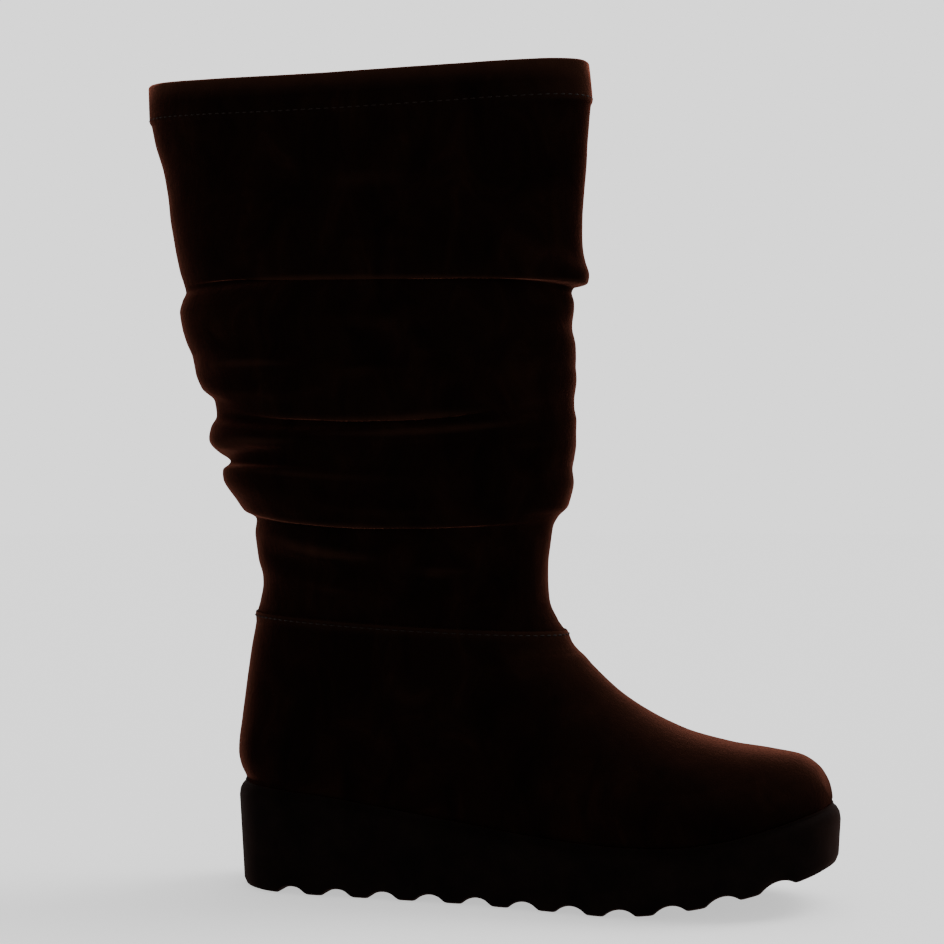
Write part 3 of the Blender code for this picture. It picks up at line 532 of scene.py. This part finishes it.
class Skin:
    """The boot's outer skin as one grid: foot sections, then shaft rings.

    places and normals are indexed by the numbers in grid[row, side, step], which both
    sides share along the front ridge, the back and the toe's end.
    """

    def __init__(self, foot_density, shaft_density, side_steps):
        angles = np.linspace(0.0, math.pi, side_steps + 1)
        rows = foot_rows(foot_density)
        rings = shaft_rings(shaft_density)
        names = [row["name"] for row in rows]
        self.foot_rows = len(rows)
        self.closed = names.index(CLOSED_FROM)
        self.seam = self.foot_rows - 1
        self.hem = [0.0] * self.foot_rows + [ring["hem"] for ring in rings]
        sections = [[upper_section(row, side, angles) for side in (-1, 1)] for row in rows]
        sections += [[shaft_section(ring, side, angles) for side in (-1, 1)] for ring in rings]
        sections = np.array(sections)
        # Both sides share the front ridge, closed rows the back too, and row 0 is one line
        sections[0] = sections[0].mean(axis=0)
        numbers = np.arange(sections[..., 0].size).reshape(sections.shape[:3])
        numbers[0, 1] = numbers[0, 0]
        numbers[:, 1, -1] = numbers[:, 0, -1]
        numbers[self.closed:, 1, 0] = numbers[self.closed:, 0, 0]
        used, self.grid = np.unique(numbers, return_inverse=True)
        self.grid = self.grid.reshape(numbers.shape)
        self.places = sections.reshape(-1, 3)[used]
        levels = [0.0] * self.foot_rows
        levels += [(ring["back"] + ring["front"]) / 2 for ring in rings]
        around = np.zeros(numbers.shape)
        around[:, 0] = angles / math.pi
        around[:, 1] = -angles / math.pi
        level = np.zeros(numbers.shape) + np.array(levels)[:, None, None]
        relief = crease_relief(around.ravel()[used], level.ravel()[used])
        leg = level.ravel()[used] > 0
        relief = np.where(leg, relief, 0.0)
        relief += np.where(leg, 1.0, FOOT_UNEVEN) * unevenness(self.places)
        back = self.grid[self.closed + 1:, 0, 0]
        relief[back] -= BACK_SEAM
        self.normals = self.unit_normals()
        self.places = self.places + relief[:, None] * self.normals
        self.normals = self.unit_normals()
        self.crests = self.find_crests()

    def quads(self, last):
        """Faces from the toe up to a row of the grid, as vertex numbers, facing out."""
        found = []
        for side in (0, 1):
            low = self.grid[:last, side]
            high = self.grid[1:last + 1, side]
            corners = [low[:, :-1], low[:, 1:], high[:, 1:], high[:, :-1]]
            if side == 1:
                corners = corners[:1] + corners[:0:-1]
            found.append(np.stack([corner.ravel() for corner in corners], axis=1))
        return np.concatenate(found)

    def patch(self, last):
        """Vertex numbers from the toe up to a row, and faces that count in their order."""
        used, faces = np.unique(self.quads(last), return_inverse=True)
        return used, faces.reshape(-1, 4)

    def unit_normals(self):
        faces = self.quads(len(self.grid) - 1)
        a, b, c, d = (self.places[faces[:, k]] for k in range(4))
        across = np.cross(c - a, d - b)
        total = np.zeros_like(self.places)
        for k in range(4):
            np.add.at(total, faces[:, k], across)
        return total / np.linalg.norm(total, axis=1)[:, None]

    def find_crests(self):
        """1 where the skin stands out in a crest, 0 where it lies flat or hollow."""
        height = np.zeros(len(self.places))
        middle = self.grid[CREST_ROWS:-CREST_ROWS]
        low = self.places[self.grid[:-2 * CREST_ROWS]]
        high = self.places[self.grid[2 * CREST_ROWS:]]
        out = self.places[middle] - (low + high) / 2
        height[middle] = np.sum(out * self.normals[middle], axis=-1)
        low, high = CREST_HEIGHT
        return ease((height - low) / (high - low))

    def loop(self, i):
        """Vertex numbers right round a closed row."""
        return np.concatenate([self.grid[i, 0], self.grid[i, 1, -2:0:-1]])

    def feather_loop(self):
        """Vertex numbers round the feather edge: toe, outer side, heel, inner side."""
        outer = self.grid[:self.closed + 1, 0, 0]
        return np.concatenate([outer, self.grid[self.closed - 1:0:-1, 1, 0]])

    def ring(self, i, depth):
        """Row i right round, set in by a depth."""
        numbers = self.loop(i)
        return self.places[numbers] - depth * self.normals[numbers]

    def between(self, i, depth, share):
        """Ring a share of the way from row i to row i + 1."""
        return (1 - share) * self.ring(i, depth) + share * self.ring(i + 1, depth)


def feather_ring(places, outward, height):
    """Closed loop set off sideways from a flat outline, at a height over the feather edge."""
    flat = places[:, :2]
    tangent = np.roll(flat, -1, axis=0) - np.roll(flat, 1, axis=0)
    tangent /= np.linalg.norm(tangent, axis=1)[:, None]
    away = np.stack([-tangent[:, 1], tangent[:, 0]], axis=1)
    if np.sum(away * (flat - flat.mean(axis=0))) < 0:
        away = -away
    moved = flat + away * np.reshape(outward, (-1, 1))
    return np.column_stack([moved, feather(along_of(moved[:, 0])) + height])


def place_object(name, data):
    made = bpy.data.objects.new(name, data)
    bpy.context.scene.collection.objects.link(made)
    return made


class Builder:
    """Collects vertices and faces, then makes a mesh object from them."""

    def __init__(self):
        self.places = []
        self.faces = []
        self.count = 0

    def add(self, places):
        first = self.count
        self.places.append(np.asarray(places, float))
        self.count += len(places)
        return np.arange(first, self.count)

    def skin(self, faces):
        """Adds faces, with a corner left out where it repeats."""
        self.faces += [list(dict.fromkeys(face)) for face in np.asarray(faces).tolist()]

    def bridge(self, loops, closed=False):
        """Quads between each ring of vertex numbers and the next."""
        pairs = list(zip(loops, loops[1:]))
        if closed:
            pairs.append((loops[-1], loops[0]))
        for near, far in pairs:
            corners = [near, np.roll(near, -1), np.roll(far, -1), far]
            self.skin(np.stack(corners, axis=1))

    def walls(self, places, normals, faces, outside, inside):
        """The two faces of a wall, set in from its places by two depths."""
        outer, inner = (
            self.add(places - np.reshape(depth, (-1, 1)) * normals) for depth in (outside, inside)
        )
        self.skin(outer[faces])
        self.skin(inner[faces[:, ::-1]])
        return outer, inner

    def finish(self, name, material, smooth_degrees=SMOOTH, **marks):
        mesh = bpy.data.meshes.new(name)
        mesh.from_pydata(np.concatenate(self.places).tolist(), [], self.faces)
        mesh.update()
        for mark, values in marks.items():
            mesh.attributes.new(mark, "FLOAT", "POINT").data.foreach_set("value", values)
        mesh.shade_smooth()
        mesh.set_sharp_from_angle(angle=math.radians(smooth_degrees))
        made = place_object(name, mesh)
        face_outward(made)
        made.data.materials.append(material)
        return made


def face_outward(made):
    """Makes the faces agree, and turns them out if the closed mesh's volume is negative."""
    work = bmesh.new()
    work.from_mesh(made.data)
    bmesh.ops.recalc_face_normals(work, faces=work.faces)
    if work.calc_volume(signed=True) < 0:
        bmesh.ops.reverse_faces(work, faces=work.faces)
    work.to_mesh(made.data)
    work.free()


SKIN = Skin(FOOT_DENSITY, SHAFT_DENSITY, SIDE_STEPS)


def rolled_edge(place, normal, up, outside, inside):
    """Rings over a round edge, from a ring's outside to its inside depth."""
    middle = (outside + inside) / 2
    half = (inside - outside) / 2
    rings = []
    for k in range(1, EDGE_STEPS):
        turn = math.pi * k / EDGE_STEPS
        depth = middle - half * math.cos(turn)
        rings.append(place - depth * normal + math.sin(turn) * up)
    return rings


def make_shaft(material):
    """Folded leg of suede: skived foot inside the ankle seam, turned hem at the collar."""
    first = SKIN.seam + 1
    last = len(SKIN.grid) - 1
    top = last - HEM_ROLL
    rows = range(top, first - 1, -1)
    down = [SKIN.between(top, -HEM_STEP, HEM_ROLL_START)]
    down += [SKIN.ring(i, -SKIN.hem[i] * HEM_STEP) for i in rows]
    lap_depth = SUEDE / 2 + CLEARANCE
    hidden = [
        SKIN.ring(SKIN.seam, 0.0),
        SKIN.ring(SKIN.seam, lap_depth),
        SKIN.ring(SKIN.seam - LAP_ROWS, lap_depth),
        SKIN.ring(SKIN.seam - LAP_ROWS, lap_depth + SUEDE),
    ]
    for i in range(SKIN.seam, top + 1):
        facing = ease((i - (last - SHAFT_DENSITY)) / FACING_ROWS)
        hidden.append(SKIN.ring(i, SUEDE + facing * (WALL - SUEDE)))
    hidden.append(SKIN.between(top, WALL, HEM_ROLL_START))
    start = SKIN.between(top, 0.0, HEM_ROLL_START)
    rise = SKIN.ring(last, 0.0) - start
    edge = rolled_edge(start, SKIN.normals[SKIN.loop(top)], rise, -HEM_STEP, WALL)[::-1]
    build = Builder()
    loops = [build.add(ring) for ring in down + hidden + edge]
    build.bridge(loops, closed=True)
    marks = shaft_marks(rows, last, len(hidden), len(edge))
    return build.finish("shaft_suede", material, **marks)


def shaft_marks(rows, last, hidden, edge):
    """Painted highlight and nap of the shaft's rings: the rows, then counts of hidden and edge rings.
    """
    count = len(SKIN.loop(last))
    front = 1 - np.abs(np.linspace(-1.0, 1.0, count + 1)[:-1])
    front = ease((front - HEM_FRONT_START) / (1 - HEM_FRONT_START))
    rub = [np.full(count, HEM_EDGE_HIGHLIGHT)]
    nap = [np.full(count, HEM_NAP)]
    for i in rows:
        high = ease(1 - (last - i) / HEM_EDGE_FADE_ROWS)
        hem_front = SKIN.hem[i] * front
        # Painted highlight: lighter brown on the crests of the folds, the hem's edge and its front,
        # where light catches them
        highlight_sum = SKIN.crests[SKIN.loop(i)] + HEM_EDGE_HIGHLIGHT * high + HEM_FRONT_HIGHLIGHT * hem_front
        rub.append(np.clip(highlight_sum, 0.0, 1.0))
        nap.append(1 + (HEM_NAP - 1) * high + HEM_FRONT_NAP * hem_front)
    rub += [np.zeros(count)] * hidden + [np.full(count, HEM_EDGE_HIGHLIGHT)] * edge
    nap += [np.ones(count)] * hidden + [np.full(count, HEM_NAP)] * edge
    return {"rub": np.concatenate(rub), "nap": np.concatenate(nap)}


def make_foot(material):
    """Lasted suede foot, from its folded edge at the ankle to the turned-in margin."""
    seam = SKIN.seam
    build = Builder()
    used, faces = SKIN.patch(seam)
    places = SKIN.places[used]
    ridge = SEAM_RIDGE * seam_ridge(places)
    outer, inner = build.walls(places, SKIN.normals[used], faces, -ridge, SUEDE - ridge)
    rim = np.searchsorted(used, SKIN.loop(seam))
    rise = SKIN.ring(seam + 1, 0.0) - SKIN.ring(seam, 0.0)
    rise *= SUEDE / 2 / np.linalg.norm(rise, axis=1)[:, None]
    normal = SKIN.normals[SKIN.loop(seam)]
    rolled = rolled_edge(SKIN.ring(seam, 0.0), normal, rise, -SEAM_RIDGE, SUEDE - SEAM_RIDGE)
    edge = [build.add(ring) for ring in rolled]
    build.bridge([outer[rim]] + edge + [inner[rim]])
    border = np.searchsorted(used, SKIN.feather_loop())
    outline = SKIN.places[SKIN.feather_loop()]
    turn = FEATHER_RADIUS * (1 - math.sqrt(0.5))     # halfway round the turned-in edge
    margin = [
        build.add(feather_ring(outline, -turn, turn)),
        build.add(feather_ring(outline, -FEATHER_RADIUS, 0.0)),
        build.add(feather_ring(outline, -LASTING_MARGIN, 0.0)),
        build.add(feather_ring(outline, -LASTING_MARGIN, SUEDE)),
        build.add(feather_ring(outline, -FEATHER_RADIUS, SUEDE)),
    ]
    build.bridge([outer[border]] + margin + [inner[border]])
    upward = np.clip(SKIN.normals[used] @ INSTEP_FACING, 0.0, 1.0) ** INSTEP_POWER
    # Painted highlight: lighter brown where the foot faces up and forwards, and on its folded edge at
    # the ankle
    rub = np.zeros(build.count)
    rub[outer] = np.clip(INSTEP_HIGHLIGHT * upward + SEAM_HIGHLIGHT * ridge / SEAM_RIDGE, 0.0, 1.0)
    along = along_of(places[:, 0])
    wall = ease(1 - (places[:, 2] - feather(along)) / TOE_DULL_HEIGHT)
    dull = TOE_DULL * wall * ease((along - TOE_DULL_START) / (1 - TOE_DULL_START))
    nap = np.full(build.count, 1 - TOE_DULL)
    nap[outer] = (1 - dull) * (1 + INSTEP_NAP * upward)
    nap[outer[border]] = 1 - TOE_DULL
    return build.finish("foot_suede", material, rub=rub, nap=nap)


def seam_ridge(places):
    """1 at the foot's folded top edge, falling to 0 a little way below it."""
    below = seam_height(places[:, 0]) - places[:, 2]
    return 1 - ease(below / SEAM_RIDGE_HEIGHT)


def make_lining(material):
    """Thin lining of foot and leg, from the feather edge to the hem's facing."""
    skin = Skin(LINING_DENSITY, LINING_DENSITY, LINING_SIDE_STEPS)
    top = len(skin.grid) - 1 - LINING_DENSITY
    build = Builder()
    used, faces = skin.patch(top)
    outside = SUEDE + CLEARANCE
    outer, inner = build.walls(skin.places[used], skin.normals[used], faces, outside, WALL)
    for loop in (skin.loop(top), skin.feather_loop()):
        rim = np.searchsorted(used, loop)
        build.bridge([outer[rim], inner[rim]])
    return build.finish("lining", material)


SOLE_STEP = 0.0007  # between points round the sole
TREAD_STEPS = 28  # across a tread strip
GROOVE_FILLET = 0.0008
# Moulded bead where the sole meets the suede: outward from the feather edge, height over it
BEAD = ((-0.0014, -CLEARANCE), (-0.0008, 0.0003), (-0.0003, 0.0009), (0.0002, 0.0008))
SIPE_WIDTH = 0.0024  # fine furrow across the middle of each lug
SIPE_DEPTH = 0.0007
SIPE_MARGIN = (0.010, 0.016)  # from the sole's edge to where it starts, and is full
SOLE_SIDE_ROWS = 10  # on the plain wall between lip and edge
SEAT_STEPS = 2  # across a strip of the seat
SOLE_SMOOTH = 35


def lengths_along(points):
    """Length of a line of points from its first to each of them."""
    steps = np.linalg.norm(np.diff(points, axis=0), axis=1)
    return np.concatenate([[0.0], np.cumsum(steps)])


def points_at(at, lengths, points):
    return np.stack([np.interp(at, lengths, points[:, k]) for k in range(3)], axis=1)


def even_loop(places, spacing):
    """A closed loop's points, resampled at an even spacing."""
    closed = np.vstack([places, places[:1]])
    lengths = lengths_along(closed)
    count = 2 * round(lengths[-1] / spacing / 2)
    at = np.linspace(0.0, lengths[-1], count, endpoint=False)
    return points_at(at, lengths, closed)


def groove(x):
    """Depth of the arched grooves between the lugs, with softened edges."""
    chord = GROOVE_WIDTH / 2
    radius = (chord ** 2 + GROOVE_DEPTH ** 2) / (2 * GROOVE_DEPTH)
    off = np.abs((x / LUG_PITCH) % 1.0 - 0.5) * LUG_PITCH
    arch = np.sqrt(np.clip(radius ** 2 - off ** 2, 0.0, None)) - (radius - GROOVE_DEPTH)
    soft = (arch + np.sqrt(arch ** 2 + GROOVE_FILLET ** 2)) / 2
    back = -HEEL_SEAT - HEEL_MARGIN
    front = back + SOLE_LENGTH
    first = math.ceil((back + LUG_PITCH / 2) / LUG_PITCH)
    last = math.floor((front - LUG_PITCH) / LUG_PITCH)
    number = np.floor(x / LUG_PITCH)
    return np.where((number >= first) & (number <= last), soft, 0.0)


def sole_ring(outline, row, share=0.0):
    """A ring of the outsole's side; share moves an edge ring up towards the lip's foot."""
    base = feather_ring(outline, 0.0, 0.0)
    along = along_of(base[:, 0])
    margin = HEEL_MARGIN + np.clip(along, 0.0, 1.0) * (TOE_MARGIN - HEEL_MARGIN)
    seat = base[:, 2] - CLEARANCE
    depth = seat - tread(base[:, 0])
    if row.edge is None:
        drop = row.lip * LIP_RADIUS
    else:
        bottom = depth - row.edge * EDGE_RADIUS
        drop = bottom + share * (LIP_HEIGHT - bottom)
    outward = row.out * margin - row.inset * EDGE_RADIUS - SOLE_DRAFT * drop
    ring = feather_ring(outline, outward, 0.0)
    if row.edge is None:
        ring[:, 2] -= CLEARANCE + drop
    else:
        low = tread(ring[:, 0]) + row.edge * EDGE_RADIUS
        high = feather(along_of(ring[:, 0])) - CLEARANCE - LIP_HEIGHT
        ring[:, 2] = low + groove(ring[:, 0]) * (1 - share) + share * (high - low)
    return ring


def make_outsole(material):
    """Flatform unit with its rolled lip, toe spring and arched grooves between lugs."""
    outline = even_loop(SKIN.places[SKIN.feather_loop()], SOLE_STEP)
    build = Builder()
    rings = [feather_ring(outline, outward, height) for outward, height in BEAD]
    for row in SOLE_SIDE:
        if row.name == "edge top":
            for k in range(SOLE_SIDE_ROWS - 1, 0, -1):
                rings.append(sole_ring(outline, row, k / SOLE_SIDE_ROWS))
        rings.append(sole_ring(outline, row))
    loops = [build.add(ring) for ring in rings]
    build.bridge(loops)
    cap(build, loops[0], rings[0], SEAT_STEPS, lambda places: places)
    cap(build, loops[-1], rings[-1], TREAD_STEPS, on_tread)
    return build.finish("sole_unit", material, SOLE_SMOOTH)


def sipe(x, y):
    """Depth of the fine furrows across the lugs, which stop short of the sole's edge."""
    off = np.abs((x / LUG_PITCH + 0.5) % 1.0 - 0.5) * LUG_PITCH
    start, full = SIPE_MARGIN
    along = along_of(x)
    edge = half_width(along) - np.abs(y - centre_line(along))
    end = np.minimum(x + HEEL_SEAT, LAST_LENGTH - HEEL_SEAT - x)
    fade = ease((edge - start) / (full - start)) * ease((end - start) / (full - start))
    return SIPE_DEPTH * ease(1 - off / (SIPE_WIDTH / 2)) * fade


def on_tread(places):
    x = places[:, 0]
    places[:, 2] = tread(x) + groove(x) + sipe(x, places[:, 1])
    return places


def cap(build, loop, ring, steps, settle):
    """Close a loop that runs toe, outer side, heel, inner side with a grid across it."""
    half = len(loop) // 2
    rows = []
    for k in range(1, half):
        left, right = ring[k], ring[-k]
        share = np.linspace(0.0, 1.0, steps + 1)[1:-1, None]
        middle = build.add(settle((1 - share) * left + share * right))
        rows.append(np.concatenate([[loop[k]], middle, [loop[-k]]]))
    rows = np.array(rows)
    corners = [rows[:-1, :-1], rows[1:, :-1], rows[1:, 1:], rows[:-1, 1:]]
    build.skin(np.stack([corner.ravel() for corner in corners], axis=1))
    for end, row in ((loop[0], rows[0]), (loop[half], rows[-1])):
        build.skin([[end, row[k], row[k + 1]] for k in range(len(row) - 1)])


STITCH = 0.0026
STITCH_GAP = 0.0010
THREAD_RADIUS = 0.00032
THREAD_END = 0.55  # radius at a thread's ends, next to its middle's
THREAD_SINK = 0.7  # depth of its ends in the suede, in radii
THREAD_SIDES = 6
THREAD_SMOOTH = 80
STITCH_RINGS = 5
HEM_STITCH_RISE = 0.12  # of the way from the row at the hem's foot to the next


def make_stitches(name, path, normals, material):
    """A closed row of short threads laid on a path, with their ends sunk in."""
    closed = np.vstack([path, path[:1]])
    away = np.vstack([normals, normals[:1]])
    lengths = lengths_along(closed)
    count = round(lengths[-1] / (STITCH + STITCH_GAP))
    pitch = lengths[-1] / count
    build = Builder()
    for number in range(count):
        shares = np.linspace(-0.5, 0.5, STITCH_RINGS)
        at = (number + 0.5) * pitch + shares * STITCH
        centre = points_at(at, lengths, closed)
        out = points_at(at, lengths, away)
        out /= np.linalg.norm(out, axis=1)[:, None]
        run = centre[-1] - centre[0]
        run /= np.linalg.norm(run)
        side = np.cross(out, run)
        arch = np.cos(math.pi * shares)
        loops = []
        for k in range(STITCH_RINGS):
            radius = THREAD_RADIUS * (THREAD_END + (1 - THREAD_END) * arch[k])
            middle = centre[k] + out[k] * THREAD_RADIUS * THREAD_SINK * (arch[k] - 1)
            turn = 2 * math.pi * np.arange(THREAD_SIDES) / THREAD_SIDES
            ring = middle + radius * (np.cos(turn)[:, None] * out[k] + np.sin(turn)[:, None] * side[k])
            loops.append(build.add(ring))
        build.bridge(loops)
        build.faces += [loops[0][::-1].tolist(), loops[-1].tolist()]
    return build.finish(name, material, THREAD_SMOOTH)


def set_inputs(node, **values):
    """Plain values of a node's inputs, where _ stands for a space in an input's name."""
    for name, value in values.items():
        node.inputs[name.replace("_", " ")].default_value = value


class Nodes:
    """Short calls for a material's nodes."""

    # A mix node's sockets for colours, which share their names with other sockets
    COLOUR, OTHER_COLOUR, MIXED_COLOUR = 6, 7, 2

    def __init__(self, name):
        self.material = bpy.data.materials.new(name)
        self.material.use_nodes = True
        self.tree = self.material.node_tree
        self.shader = self.tree.nodes["Principled BSDF"]
        self.place = self.node("TexCoord").outputs["Object"]

    def node(self, kind, **values):
        made = self.tree.nodes.new("ShaderNode" + kind)
        set_inputs(made, **values)
        return made

    def link(self, source, target):
        self.tree.links.new(source, target)

    def shade(self, name, source):
        self.link(source, self.shader.inputs[name])

    def noise(self, scale, detail=3.0, roughness=0.5, stretch=(1, 1, 1), distortion=0.0):
        mapping = self.node("Mapping", Scale=stretch)
        self.link(self.place, mapping.inputs["Vector"])
        made = self.node("TexNoise", Scale=scale, Detail=detail, Roughness=roughness)
        set_inputs(made, Distortion=distortion)
        self.link(mapping.outputs["Vector"], made.inputs["Vector"])
        return made.outputs["Fac"]

    def attribute(self, name):
        made = self.node("Attribute")
        made.attribute_name = name
        return made.outputs["Fac"]

    def times(self, source, other):
        made = self.node("Math")
        made.operation = "MULTIPLY"
        self.link(source, made.inputs[0])
        self.link(other, made.inputs[1])
        return made.outputs["Value"]

    def mix(self, share, colour, other):
        """Colour going over to a plain other colour as share rises."""
        made = self.node("Mix")
        made.data_type = "RGBA"
        self.link(share, made.inputs["Factor"])
        self.link(colour, made.inputs[self.COLOUR])
        made.inputs[self.OTHER_COLOUR].default_value = (*other, 1.0)
        return made.outputs[self.MIXED_COLOUR]

    def ramp(self, source, stops):
        made = self.node("ValToRGB")
        elements = made.color_ramp.elements
        while len(elements) < len(stops):
            elements.new(0.5)
        for element, (place, colour) in zip(elements, stops):
            element.position = place
            element.color = (*colour, 1.0)
        self.link(source, made.inputs["Fac"])
        return made.outputs["Color"]

    def between(self, source, low, high, clamp=True):
        made = self.node("MapRange", To_Min=low, To_Max=high)
        made.clamp = clamp
        self.link(source, made.inputs["Value"])
        return made.outputs["Result"]

    def bump(self, source, strength, distance, before=None):
        made = self.node("Bump", Strength=strength, Distance=distance)
        self.link(source, made.inputs["Height"])
        if before is not None:
            self.link(before, made.inputs["Normal"])
        return made.outputs["Normal"]

    def set(self, **values):
        set_inputs(self.shader, **values)


def suede_material():
    """Near-black suede: brushed patches, short nap, warm brown where light grazes it, and a painted
    highlight in lighter brown where the mesh marks it.
    """
    made = Nodes("black suede")
    brushed = made.noise(55, detail=4.0, roughness=0.6, stretch=(1, 1, 0.6), distortion=0.8)
    colour = made.ramp(brushed, (
        (0.30, (0.0012, 0.0007, 0.0006)),
        (0.55, (0.0023, 0.0011, 0.0008)),
        (0.75, (0.0040, 0.0017, 0.0011)),
    ))
    patches = made.between(made.noise(160, detail=4.0, roughness=0.6), 0.35, 1.0)
    # Painted highlight: the mesh's mark, broken into patches, turns the tone lighter brown as if lit
    rub = made.times(made.attribute("rub"), patches)
    colour = made.mix(rub, colour, (0.0105, 0.0044, 0.0027))
    made.shade("Base Color", colour)
    made.shade("Roughness", made.between(made.noise(240), 0.78, 0.96))
    fibres = made.noise(1900, detail=2.0, roughness=0.6)
    tufts = made.noise(420, detail=4.0, roughness=0.6, stretch=(1, 1, 0.7))
    nap = made.bump(fibres, strength=0.55, distance=0.00035)
    made.shade("Normal", made.bump(tufts, strength=0.35, distance=0.0006, before=nap))
    made.shade("Sheen Weight", made.between(made.attribute("nap"), 0.0, SHEEN, clamp=False))
    made.set(Specular_IOR_Level=0.0, Sheen_Roughness=0.29, Sheen_Tint=(1.0, 0.32, 0.21, 1.0))
    return made.material


def rubber_material():
    """Matt black moulded rubber with a fine grain."""
    made = Nodes("black sole rubber")
    colour = made.ramp(made.noise(70, detail=4.0, roughness=0.6), (
        (0.35, (0.0013, 0.0009, 0.0008)),
        (0.75, (0.0026, 0.0016, 0.0013)),
    ))
    made.shade("Base Color", colour)
    made.shade("Roughness", made.between(made.noise(300), 0.60, 0.78))
    grain = made.noise(1100, detail=2.0)
    made.shade("Normal", made.bump(grain, strength=0.30, distance=0.00025))
    made.set(Specular_IOR_Level=0.005, Sheen_Weight=0.022, Sheen_Roughness=0.4)
    made.set(Sheen_Tint=(1.0, 0.34, 0.20, 1.0))
    return made.material


def lining_material():
    """Black brushed lining cloth."""
    made = Nodes("black lining cloth")
    colour = made.ramp(made.noise(900, detail=2.0), (
        (0.35, (0.0042, 0.0032, 0.0028)),
        (0.70, (0.0125, 0.0096, 0.0082)),
    ))
    made.shade("Base Color", colour)
    weave = made.noise(1400, detail=2.0)
    made.shade("Normal", made.bump(weave, strength=0.40, distance=0.0003))
    made.set(Roughness=0.85, Specular_IOR_Level=0.10, Sheen_Weight=0.05, Sheen_Roughness=0.5)
    return made.material


def thread_material():
    made = Nodes("black thread")
    twist = made.noise(2600, detail=1.0, stretch=(1, 1, 3))
    colour = made.ramp(twist, ((0.3, (0.0018, 0.0010, 0.0008)), (0.7, (0.0052, 0.0027, 0.0020))))
    made.shade("Base Color", colour)
    made.shade("Normal", made.bump(twist, strength=0.4, distance=0.0002))
    made.set(Roughness=0.65, Specular_IOR_Level=0.05)
    return made.material


TABLE_GLOW = 0.75  # lit from within, so shadows on it stay light


def stage_material():
    """Matt pale light table, with hardly any unevenness."""
    made = Nodes("pale studio floor")
    colour = made.ramp(made.noise(6, detail=2.0), (
        (0.0, (0.445, 0.445, 0.445)),
        (1.0, (0.455, 0.455, 0.455)),
    ))
    made.shade("Base Color", colour)
    made.set(Roughness=1.0, Specular_IOR_Level=0.0)
    made.set(Emission_Color=(1.0, 1.0, 1.0, 1.0), Emission_Strength=TABLE_GLOW)
    return made.material


# Camera, as the photo sees the boot: turned towards the toe, slightly below its middle
CAMERA_AZIMUTH = 15.0
CAMERA_PITCH = 1.073
CAMERA_DISTANCE = 0.851
CAMERA_TARGET = (0.0625, 0.0, 0.168)
CAMERA_LENS = 73.26
SENSOR = 36.0


def make_camera():
    data = bpy.data.cameras.new("camera")
    data.lens = CAMERA_LENS
    data.sensor_width = SENSOR
    data.sensor_fit = "HORIZONTAL"
    made = place_object("camera", data)
    turn = math.radians(CAMERA_AZIMUTH)
    away = Vector((math.sin(turn), -math.cos(turn), 0.0)) * CAMERA_DISTANCE
    made.location = Vector(CAMERA_TARGET) + away
    made.rotation_euler = (math.radians(90.0 + CAMERA_PITCH), 0.0, turn)
    bpy.context.scene.camera = made


STAGE_REACH = 12.0  # the floor runs on to the horizon
STAGE_SIDES = 96


def make_stage(material):
    """Plain pale floor disc under the boot, wide enough to meet the backdrop's tone."""
    turns = np.linspace(0.0, 2 * math.pi, STAGE_SIDES, endpoint=False)
    places = [(STAGE_REACH * math.cos(turn), STAGE_REACH * math.sin(turn), 0.0) for turn in turns]
    mesh = bpy.data.meshes.new("stage")
    mesh.from_pydata(places, [], [list(range(STAGE_SIDES))])
    mesh.materials.append(material)
    made = place_object("stage", mesh)


# Broad soft lights: direction that each comes from, its spread in degrees, strength
LIGHTS = table("name source spread strength", (
    ("overhead light", (0.20, 0.45, 1.00), 60.0, 2.2),
    ("toe light", (0.80, 0.60, 1.10), 30.0, 2.2),
))
BACKDROP = 1.65  # brightness of the room's wall all round, at the horizon
ROOM = 0.55  # and of the room above it
WALL_TOP = (0.30, 0.62)  # sine of the height where the wall starts and ends to fade


def make_lights():
    for light in LIGHTS:
        data = bpy.data.lights.new(light.name, "SUN")
        data.angle = math.radians(light.spread)
        data.energy = light.strength
        made = place_object(light.name, data)
        made.rotation_euler = Vector(light.source).to_track_quat("Z", "Y").to_euler()
    world = bpy.data.worlds.new("studio")
    world.use_nodes = True
    tree = world.node_tree
    background = tree.nodes["Background"]
    set_inputs(background, Color=(1.0, 1.0, 1.0, 1.0))
    direction = tree.nodes.new("ShaderNodeTexCoord").outputs["Generated"]
    split = tree.nodes.new("ShaderNodeSeparateXYZ")
    tree.links.new(direction, split.inputs["Vector"])
    fade = tree.nodes.new("ShaderNodeMapRange")
    set_inputs(fade, From_Min=WALL_TOP[0], From_Max=WALL_TOP[1], To_Min=BACKDROP, To_Max=ROOM)
    tree.links.new(split.outputs["Z"], fade.inputs["Value"])
    tree.links.new(fade.outputs["Result"], background.inputs["Strength"])
    bpy.context.scene.world = world


def fit(piece, slot, *nodes):
    """Rides a finished piece on the boot and hides the nodes it stands for."""
    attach(piece, "root")
    if nodes:
        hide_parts(*nodes)


suede = suede_material()
rubber = rubber_material()
cloth = lining_material()
thread = thread_material()
fit(make_shaft(suede), "suede", "shaft")
fit(make_foot(suede), "suede", "upper")
fit(make_lining(cloth), "insole")
fit(make_outsole(rubber), "sole", "outsole")

hem_row = len(SKIN.grid) - 1 - SHAFT_DENSITY
seam_row = SKIN.seam - 1
for name, row, path in (
    ("hem_stitches", hem_row, SKIN.between(hem_row, -HEM_STEP, HEM_STITCH_RISE)),
    ("ankle_stitches", seam_row, SKIN.ring(seam_row, -SEAM_RIDGE)),
):
    fit(make_stitches(name, path, SKIN.normals[SKIN.loop(row)], thread), "suede")

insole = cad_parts["insole"]
insole.data.materials.clear()
insole.data.materials.append(cloth)

make_stage(stage_material())
make_camera()
make_lights()
